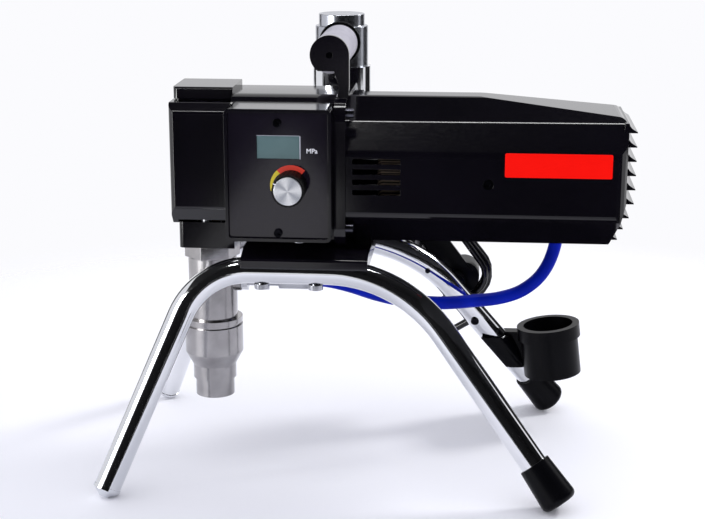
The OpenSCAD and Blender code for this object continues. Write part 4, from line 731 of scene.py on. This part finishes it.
@dataclass
class Cords:
    """The fluid hose and the wound power cord, in millimetres."""

    route_steps: int = 8
    hose_d: float = 13.5
    cord_d: float = 7.0
    hose_points: list[Point] = field(default_factory=lambda: [
        (-60.15, 0, 179), (-46.5, 0, 179), (-24, 4, 173), (2, 14, 162), (26, 25, 154), (66, 40, 147),
        (106, 57, 146), (127, 65, 147), (147, 72, 152), (164, 78, 163), (175, 83, 177), (182, 87, 195),
        (185, 90, 215), (183, 93, 235), (176, 96, 254), (163, 99, 269), (146, 101, 279), (126, 103, 285),
        (102, 104, 287), (66.5, 104, 287), (52.5, 104, 287)])
    # The hank: its lower peg and lean in X and Z, its runs, folds and loops, and where it starts
    peg_low: Pair = (88.5, 157.0)
    lean: Pair = (-0.61, 0.79)
    run: float = 110.0
    fold_r: float = 21.0
    step: float = 8.0
    loops: int = 4
    start: float = 0.7
    climb: float = 0.17
    plug_lift: float = 0.7
    hank_y0: float = 111.0
    rings: int = 48
    end_gap: float = 0.0001
    gland_seat: Point = (40.0, 53.0, 245.5)
    gland_reach: float = 32.0
    gland_slope: float = math.atan2(31, 34)
    lead_middle: list[Point] = field(default_factory=lambda: [(40.5, 90, 205), (41.5, 103, 189)])

    def axes(self) -> tuple[Vector, Vector]:
        """Returns the hank's long and cross directions in X and Z."""
        along = Vector(self.lean).normalized()
        return along, Vector((along.y, -along.x))

    def lap(self, s: float, r: float) -> Pair:
        """A place on a loop: down one run, round the low fold, up the other run, over the top.

        Args:
            s: the distance along the loop.
            r: its fold radius.

        Returns:
            The place across and along the hank.
        """
        fold = math.pi * r
        if s < self.run:
            return -r, self.run - s
        if s < self.run + fold:
            t = (s - self.run) / r
            return -r * math.cos(t), -r * math.sin(t)
        if s < 2 * self.run + fold:
            return r, s - self.run - fold
        t = (s - 2 * self.run - fold) / r
        return r * math.cos(t), self.run + r * math.sin(t)

    def hank_point(self, u: float) -> Vector:
        """Returns the cord's place after u loops, in millimetres."""
        along, across = self.axes()
        n = math.floor(u)
        r = self.fold_r + self.step * (1 - abs(1 - u % 2))
        length = 2 * self.run + 2 * math.pi * r
        s = ((u - n) * length + self.start * self.run) % length
        q = self.lap(s, r)
        p = Vector(self.peg_low) + across * q[0] + along * q[1]
        part = max(0.0, (u - n - 1 + self.climb) / self.climb)
        layer = n + part * (1 + self.plug_lift if n == self.loops - 1 else 1)
        return Vector((p.x, self.hank_y0 + self.cord_d / 2 + self.step * layer, p.y))

    def hank(self) -> list[Vector]:
        """Returns the centreline of the hank, in millimetres."""
        along, _ = self.axes()
        down = Vector((-along.x, 0, -along.y))
        body = [self.hank_point(i / self.rings) for i in range(self.loops * self.rings)]
        last = self.hank_point(self.loops - self.end_gap)
        return [body[0], body[0] + down * self.cord_d] + body[3:] + [last - down, last + down * self.cord_d]

    def lead(self, hank: list[Vector]) -> list[Vector]:
        """The free stretch from the gland to the hank.

        Args:
            hank: the hank's centreline.

        Returns:
            Its centreline, in millimetres.
        """
        out = Vector((0, math.sin(self.gland_slope), -math.cos(self.gland_slope)))
        tip = Vector(self.gland_seat) + out * self.gland_reach
        down = (hank[1] - hank[0]).normalized()
        route = [tip, tip + out * self.cord_d, *map(Vector, self.lead_middle),
                 hank[0] - down * self.cord_d, hank[0]]
        return catmull(route, self.route_steps)

    def build(self) -> None:
        route = [p * MM for p in catmull([Vector(p) for p in self.hose_points], self.route_steps)]
        hose = cord_curve("blue_fluid_hose", route, self.hose_d * MM, PALETTE[Surface.HOSE])
        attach(hose, FRAME_BODY)
        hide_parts("fluid_hose")
        tuple(route[0])
        path_length(route)
        hank = self.hank()
        whole = [p * MM for p in self.lead(hank)[:-1] + hank]
        cord = cord_curve("wound_power_cord", whole, self.cord_d * MM, PALETTE[Surface.CORD])
        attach(cord, FRAME_BODY)
        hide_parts("cord_lead", "cord_hank")
        plug = softened("cord_plug", 1.0, Surface.CORD)
        tuple(whole[0])
        path_length(whole)
        LOG.info("cords: hose %.3f m, mains lead %.3f m", path_length(route), path_length(whole))


BODY_OF = {node: body for body, nodes in frame["record"]["behaviour"]["bodies"].items() for node in nodes}
SLOT_OF = {part["node"]: part["material_slot"] for part in frame["record"]["subparts"]}


def softened(node: str, width_mm: float, surface: Surface, segments: int = 3,
             crease: float = CREASE_DEG) -> Piece:
    """A copy of a CAD node with its edges broken, which stands for the node.

    Args:
        node: the CAD node.
        width_mm: the width of the broken edges.
        surface: its finish.
        segments: the steps across an edge.
        crease: the angle in degrees above which faces meet in a hard edge.

    Returns:
        The new piece.
    """
    mesh = frame["nodes"][node].data.copy()
    piece = bpy.data.objects.new(f"{node}_finished", mesh)
    mesh.name = piece.name
    bpy.context.scene.collection.objects.link(piece)
    edit(piece)
    bpy.ops.mesh.remove_doubles(threshold=WELD_M)
    bpy.ops.mesh.dissolve_limited(angle_limit=math.radians(FLAT_DEG))
    leave_edit()
    apply_modifier(piece, "BEVEL", {"width": width_mm * MM, "segments": segments, "limit_method": "ANGLE",
                                    "angle_limit": math.radians(BREAK_DEG), "use_clamp_overlap": True})
    smooth(piece, crease)
    apply_modifier(piece, "WEIGHTED_NORMAL", {"keep_sharp": True, "weight": NORMAL_WEIGHT})
    dress(piece, PALETTE[surface])
    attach(piece, BODY_OF[node])
    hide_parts(node)
    SLOT_OF[node]
    return piece


@dataclass
class Housings:
    """The cast and moulded shells, with their edges broken as on the real ones."""

    shells: list[tuple[str, float, Surface]] = field(default_factory=lambda: [
        ("front_cover", 1.8, Surface.CASTING), ("front_top_cap", 1.4, Surface.CASTING),
        ("pump_block", 1.0, Surface.CASTING), ("gear_housing", 0.8, Surface.CASTING),
        ("handle_frame", 0.9, Surface.CASTING), ("base_bracket", 0.9, Surface.CASTING),
        ("motor_cover", 0.7, Surface.COVER), ("control_box", 1.8, Surface.COVER),
        ("control_panel", 0.9, Surface.PANEL), ("display_window", 0.2, Surface.DISPLAY),
        ("pressure_knob", 0.4, Surface.PHENOLIC), ("knob_cap", 0.4, Surface.SPUN),
        ("handle_grip", 0.25, Surface.GRIP), ("drip_cup", 1.2, Surface.RUBBER),
        ("rear_foot_tips", 0.6, Surface.RUBBER), ("hose_guide", 0.3, Surface.COVER),
        ("cord_bracket", 0.8, Surface.RUBBER), ("cord_gland", 0.6, Surface.CORD),
        ("prime_knob", 0.8, Surface.RED_KNOB),
    ])
    # Steps across an edge, and the crease angle in degrees
    plain: tuple[int, float] = (3, CREASE_DEG)
    # The cover's flat tail meets its flat top at a small angle
    fine: dict[str, tuple[int, float]] = field(default_factory=lambda: {"motor_cover": (10, 5.5)})

    def build(self) -> None:
        """Makes each shell."""
        for node, width, surface in self.shells:
            softened(node, width, surface, *self.fine.get(node, self.plain))
            LOG.info("shell %s", node)


@dataclass
class Metalwork:
    """The bright metal of the pump and the filter."""

    pieces: list[tuple[str, float, Surface]] = field(default_factory=lambda: [
        ("pump_cylinder", 0.5, Surface.STAINLESS), ("foot_valve", 0.5, Surface.STAINLESS),
        ("pump_lock_nut", 0.6, Surface.STAINLESS), ("pump_outlet_fitting", 0.4, Surface.FITTING),
        ("filter_manifold", 0.5, Surface.CHROME), ("filter_bowl", 0.8, Surface.SATIN),
        ("prime_valve", 0.4, Surface.FITTING), ("front_leg_plugs", 0.4, Surface.CHROME),
        ("frame_bolts", 0.3, Surface.FITTING), ("flange_bolts", 0.3, Surface.OXIDE),
        ("small_screws", 0.2, Surface.SCREW), ("power_switch", 0.3, Surface.FITTING),
    ])

    def build(self) -> None:
        """Makes each piece."""
        for node, width, surface in self.pieces:
            softened(node, width, surface)
            LOG.info("metal %s", node)


@dataclass
class InnerWorks:
    """The parts inside, which keep their CAD shape and get a finish."""

    finishes: dict[str, Surface] = field(default_factory=lambda: {
        "grip_rod": Surface.SCREW, "motor_stator": Surface.CORE, "motor_windings": Surface.COPPER,
        "motor_rear_bell": Surface.ALUMINIUM, "shaft_bearings": Surface.STEEL,
        "motor_rotor": Surface.STEEL, "motor_fan": Surface.NYLON, "motor_pinion": Surface.STEEL,
        "layshaft_gear": Surface.STEEL, "crank_gear": Surface.STEEL, "crank_roller": Surface.STEEL,
        "drive_yoke": Surface.ALUMINIUM, "yoke_guides": Surface.STEEL, "piston_rod": Surface.STAINLESS,
        "piston": Surface.STAINLESS, "piston_seal": Surface.PACKING, "outlet_ball": Surface.STEEL,
        "packing_set": Surface.PACKING, "packing_nut": Surface.BRASS, "inlet_seat": Surface.STEEL,
        "inlet_ball": Surface.STEEL, "control_board": Surface.BOARD, "filter_element": Surface.MESH,
    })

    def build(self) -> None:
        """Gives each inner part its finish."""
        for node, surface in self.finishes.items():
            dress(frame["nodes"][node], PALETTE[surface])


@dataclass
class Stand:
    """The two bent and chromed tubes, in millimetres and degrees."""

    tube_d: float = 25.4
    height: float = 207.0
    top_half: float = 70.0
    foot_half: float = 147.0
    front_corner: float = -161.5
    rear_corner: float = 32.5
    front_rake: float = 21.0
    rear_rake: float = 36.0
    front_bend: float = 70.0
    rear_bend: float = 140.0
    front_end_z: float = 10.43
    rear_end_z: float = 14.84
    arc_steps: int = 16

    def bend(self, centre: Vector, radius: float, first: float, last: float) -> list[Vector]:
        """Points on a bend in the tube's own plane.

        Args:
            centre: the middle of the bend.
            radius: its radius at the centreline.
            first: the angle it starts at, in degrees.
            last: the angle it ends at.

        Returns:
            The points, from first to last.
        """
        steps = range(self.arc_steps + 1)
        angles = [math.radians(first + (last - first) * i / self.arc_steps) for i in steps]
        return [centre + radius * Vector((math.cos(a), math.sin(a))) for a in angles]

    def path(self) -> list[Vector]:
        """Returns the near tube's centreline, in millimetres."""
        tilt = math.atan((self.foot_half - self.top_half) / self.height)
        top = self.height / math.cos(tilt)
        front_low, rear_low = self.front_end_z / math.cos(tilt), self.rear_end_z / math.cos(tilt)
        front_x0 = self.front_corner + self.front_bend * math.tan(math.radians(90 - self.front_rake) / 2)
        rear_x1 = self.rear_corner - self.rear_bend * math.tan(math.radians(90 - self.rear_rake) / 2)
        front_end = Vector((self.front_corner - (top - front_low) * math.tan(math.radians(self.front_rake)),
                            front_low))
        rear_end = Vector((self.rear_corner + (top - rear_low) * math.tan(math.radians(self.rear_rake)),
                           rear_low))
        flat = [front_end]
        flat += self.bend(Vector((front_x0, top - self.front_bend)), self.front_bend,
                          180 - self.front_rake, 90)
        flat += self.bend(Vector((rear_x1, top - self.rear_bend)), self.rear_bend, 90, self.rear_rake)
        flat.append(rear_end)
        return [Vector((p.x, -self.foot_half + p.y * math.sin(tilt), p.y * math.cos(tilt))) for p in flat]

    def build(self) -> None:
        """Makes both tubes."""
        for side, node in ((1, "stand_tube_near"), (-1, "stand_tube_far")):
            line = [Vector((p.x, side * p.y, p.z)) * MM for p in self.path()]
            tube = swept_tube(f"chromed_{node}", line, self.tube_d * MM)
            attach(tube, FRAME_BODY)
            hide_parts(node)
            SLOT_OF[node]


def plate(name: str, corners: Quad, y: float, thick: float, round_mm: float,
          surface: Surface) -> Piece:
    """A thin upright plate that faces the near side, with rounded corners and broken edges.

    Args:
        name: the piece's name.
        corners: lowest X, highest X, lowest Z and highest Z, in millimetres.
        y: the Y of its near face.
        thick: its thickness.
        round_mm: the radius of its corners.
        surface: its finish.

    Returns:
        The plate.
    """
    x0, x1, z0, z1 = corners
    deselect()
    bpy.ops.mesh.primitive_cube_add(size=1, location=((x0 + x1) / 2 * MM, (y + thick / 2) * MM,
                                                      (z0 + z1) / 2 * MM))
    piece = bpy.context.object
    piece.scale = ((x1 - x0) * MM, thick * MM, (z1 - z0) * MM)
    settle(piece, name)
    edit(piece)
    bpy.ops.mesh.select_all(action="DESELECT")
    leave_edit()
    for edge in piece.data.edges:
        a, b = (piece.data.vertices[v].co for v in edge.vertices)
        edge.select = abs(a.y - b.y) > 0.5 * thick * MM
    bpy.ops.object.mode_set(mode="EDIT")
    bpy.ops.mesh.bevel(offset=round_mm * MM, segments=6, affect="EDGES")
    leave_edit()
    apply_modifier(piece, "BEVEL", {"width": min(PLATE_EDGE, thick * PLATE_EDGE_SHARE) * MM, "segments": 2,
                                    "limit_method": "ANGLE", "angle_limit": math.radians(EDGE_DEG)})
    smooth(piece, CREASE_DEG)
    dress(piece, PALETTE[surface])
    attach(piece, FRAME_BODY)
    return piece


def print_arc(name: str, centre: Pair, y: float, outer: float, span: Pair,
              widths: Pair, surface: Surface) -> Piece:
    """A printed arc on the panel, a tenth of a millimetre proud.

    Args:
        name: the piece's name.
        centre: the arc's middle in X and Z, in millimetres.
        y: the panel's face.
        outer: its outer radius.
        span: its first and last angle, in degrees from +X towards +Z.
        widths: its width at the first and at the last angle.
        surface: its ink.

    Returns:
        The arc.
    """
    deselect()
    bpy.ops.mesh.primitive_circle_add(vertices=ARC_FACETS, radius=outer * MM, fill_type="NGON")
    arc = bpy.context.object
    edit(arc)
    bpy.ops.mesh.inset(thickness=max(widths) * MM)
    bpy.ops.mesh.select_all(action="DESELECT")
    leave_edit()
    for face in arc.data.polygons:
        turn = math.degrees(math.atan2(face.center.y, face.center.x)) % 360
        face.select = face.center.length < 0.5 * outer * MM or not span[0] < turn < span[1]
    bpy.ops.object.mode_set(mode="EDIT")
    bpy.ops.mesh.select_mode(type="FACE")
    bpy.ops.mesh.delete(type="FACE")
    leave_edit()
    for vertex in arc.data.vertices:
        if vertex.co.length < (outer - ARC_RIM) * MM:
            turn = math.degrees(math.atan2(vertex.co.y, vertex.co.x)) % 360
            part = (turn - span[0]) / (span[1] - span[0])
            width = widths[0] + (widths[1] - widths[0]) * part
            vertex.co = vertex.co.normalized() * (outer - width) * MM
    apply_modifier(arc, "SOLIDIFY", {"thickness": PRINT_THICK * MM, "offset": 0})
    edit(arc)
    bpy.ops.mesh.normals_make_consistent(inside=False)
    leave_edit()
    arc.rotation_euler = (math.radians(90), 0, 0)
    arc.location = (centre[0] * MM, (y - PRINT_LIFT) * MM, centre[1] * MM)
    settle(arc, name)
    dress(arc, PALETTE[surface])
    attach(arc, FRAME_BODY)
    return arc


@dataclass
class Panel:
    """The print on the control panel, the knob's pointer and the badge plate, in millimetres."""

    face_y: float = -90.6
    knob: Pair = (-70.25, 294.0)
    knob_h: float = 25.0
    knob_gap: float = 0.5
    arc_r: float = 19.6
    # Name, span in degrees, widths at both ends and ink of the arcs
    arcs: list[tuple[str, Pair, Pair, Surface]] = field(default_factory=lambda: [
        ("printed_yellow_arc", (133, 196), (4.2, 1.4), Surface.YELLOW_INK),
        ("printed_red_arc", (48, 133), (4.4, 4.8), Surface.RED_INK),
    ])
    pointer_turn: float = 152.0
    pointer_span: Pair = (12.6, 15.1)
    pointer_w: float = 0.5
    pointer_t: float = 1.0
    pointer_edge: float = 0.12
    pointer_lift: float = 0.1
    display: Quad = (-102.0, -62.0, 319.2, 340.8)
    lit_w: float = 0.8
    lit_t: float = 0.3
    lit_lift: float = 0.1
    lit_rounds: Pair = (0.2, 0.15)
    unit_at: Point = (-50.6, -90.6, 325.0)
    unit_size: float = 6.2
    unit_t: float = 0.05
    unit_swell: float = 0.08
    badge: Quad = (127.2, 226.3, 301.4, 324.2)
    badge_t: float = 1.0
    badge_lift: float = 0.9
    badge_round: float = 1.6
    cover_y: float = -70.0

    def display_edges(self) -> None:
        """Lays pale strips along the top and the right of the display, a painted highlight of the light on
        its cut edges.
        """
        x0, x1, z0, z1 = self.display
        y = self.face_y - self.lit_lift
        right_round, top_round = self.lit_rounds
        plate("display_edge_right", (x1, x1 + self.lit_w, z0, z1), y, self.lit_t, right_round,
              Surface.EDGE_HIGHLIGHT)
        plate("display_edge_top", (x0, x1, z1, z1 + 0.5 * self.lit_w), y, self.lit_t, top_round,
              Surface.EDGE_HIGHLIGHT)

    def unit_label(self) -> None:
        """Prints the unit of pressure beside the display."""
        deselect()
        bpy.ops.object.text_add(rotation=(math.radians(90), 0, 0))
        text = bpy.context.object
        text.data.body = "MPa"
        text.data.size = self.unit_size * MM
        text.data.align_x = "CENTER"
        text.data.extrude = self.unit_t * MM
        text.data.offset = self.unit_swell * MM
        x, y, z = self.unit_at
        text.location = (x * MM, (y - PRINT_LIFT) * MM, z * MM)
        bpy.ops.object.convert(target="MESH")
        label = settle(bpy.context.object, "printed_unit")
        dress(label, PALETTE[Surface.WHITE_INK])
        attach(label, FRAME_BODY)

    def pointer(self) -> None:
        """Sets a white line into the knob's skirt, at ten o'clock."""
        inner, outer = self.pointer_span
        deselect()
        bpy.ops.mesh.primitive_cube_add(size=1, location=((inner + outer) / 2 * MM, 0, 0))
        line = bpy.context.object
        line.scale = ((outer - inner) * MM, self.pointer_w * MM, self.pointer_t * MM)
        settle(line, "knob_pointer")
        edit(line)
        bpy.ops.mesh.bevel(offset=self.pointer_edge * MM, segments=2, affect="EDGES")
        leave_edit()
        line.rotation_euler = (0, -math.radians(self.pointer_turn), 0)
        y = self.face_y - self.knob_gap - self.knob_h - self.pointer_lift
        line.location = (self.knob[0] * MM, y * MM, self.knob[1] * MM)
        settle(line, "knob_pointer")
        dress(line, PALETTE[Surface.WHITE_INK])
        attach(line, "knob")

    def build(self) -> None:
        """Makes the print, the pointer and the badge plate."""
        for name, span, widths, ink in self.arcs:
            print_arc(name, self.knob, self.face_y, self.arc_r, span, widths, ink)
        self.display_edges()
        self.unit_label()
        self.pointer()
        plate("badge_plate", self.badge, self.cover_y - self.badge_lift, self.badge_t, self.badge_round,
              Surface.BADGE)


@dataclass
class GripRing:
    """The black rubber ring round the far end of the grip, which shows as a dark crescent over it."""

    middle: Point = (-38.0, 50.0, 411.0)
    ring_r: float = 19.6
    bead_r: float = 1.3
    around: int = 64
    across: int = 16
    crease: float = 60.0

    def build(self) -> None:
        """Slips the ring over the far end disc."""
        deselect()
        bpy.ops.mesh.primitive_torus_add(major_segments=self.around, minor_segments=self.across,
                                         major_radius=self.ring_r * MM, minor_radius=self.bead_r * MM,
                                         rotation=(math.radians(90), 0, 0),
                                         location=[c * MM for c in self.middle])
        ring = settle(bpy.context.object, "grip_end_ring")
        smooth(ring, self.crease)
        dress(ring, PALETTE[Surface.RUBBER])
        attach(ring, FRAME_BODY)


@dataclass
class TubeBolt:
    """The upper of the two bolt heads on the far tube's inner side."""

    seat: Point = (51.54, 69.09, 173.22)
    outward: Point = (0.0668, -0.9601, -0.2714)
    head_r: float = 2.7
    head_h: float = 1.5
    sink: float = 0.1
    edge: float = 0.3
    facets: int = 32

    def build(self) -> None:
        """Sets the head on the tube."""
        out = Vector(self.outward).normalized()
        middle = Vector(self.seat) + out * (self.head_h / 2 - self.sink)
        deselect()
        bpy.ops.mesh.primitive_cylinder_add(vertices=self.facets, radius=self.head_r * MM,
                                            depth=self.head_h * MM, location=middle * MM,
                                            rotation=out.to_track_quat("Z", "Y").to_euler())
        head = settle(bpy.context.object, "tube_bolt_head")
        apply_modifier(head, "BEVEL", {"width": self.edge * MM, "segments": 2, "limit_method": "ANGLE",
                                       "angle_limit": math.radians(EDGE_DEG)})
        smooth(head, CREASE_DEG)
        dress(head, PALETTE[Surface.SCREW])
        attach(head, FRAME_BODY)
        SLOT_OF["small_screws"]


def main() -> None:
    """Builds the studio and every sub-assembly in order."""
    logging.basicConfig(level=logging.INFO, format="%(name)s %(message)s")
    for part in (Studio(), Cords(), Stand(), Housings(), Metalwork(), InnerWorks(), Panel(),
                 GripRing(), TubeBolt()):
        part.build()
        LOG.info("built %s", type(part).__name__)


if __name__ == "__main__":
    main()
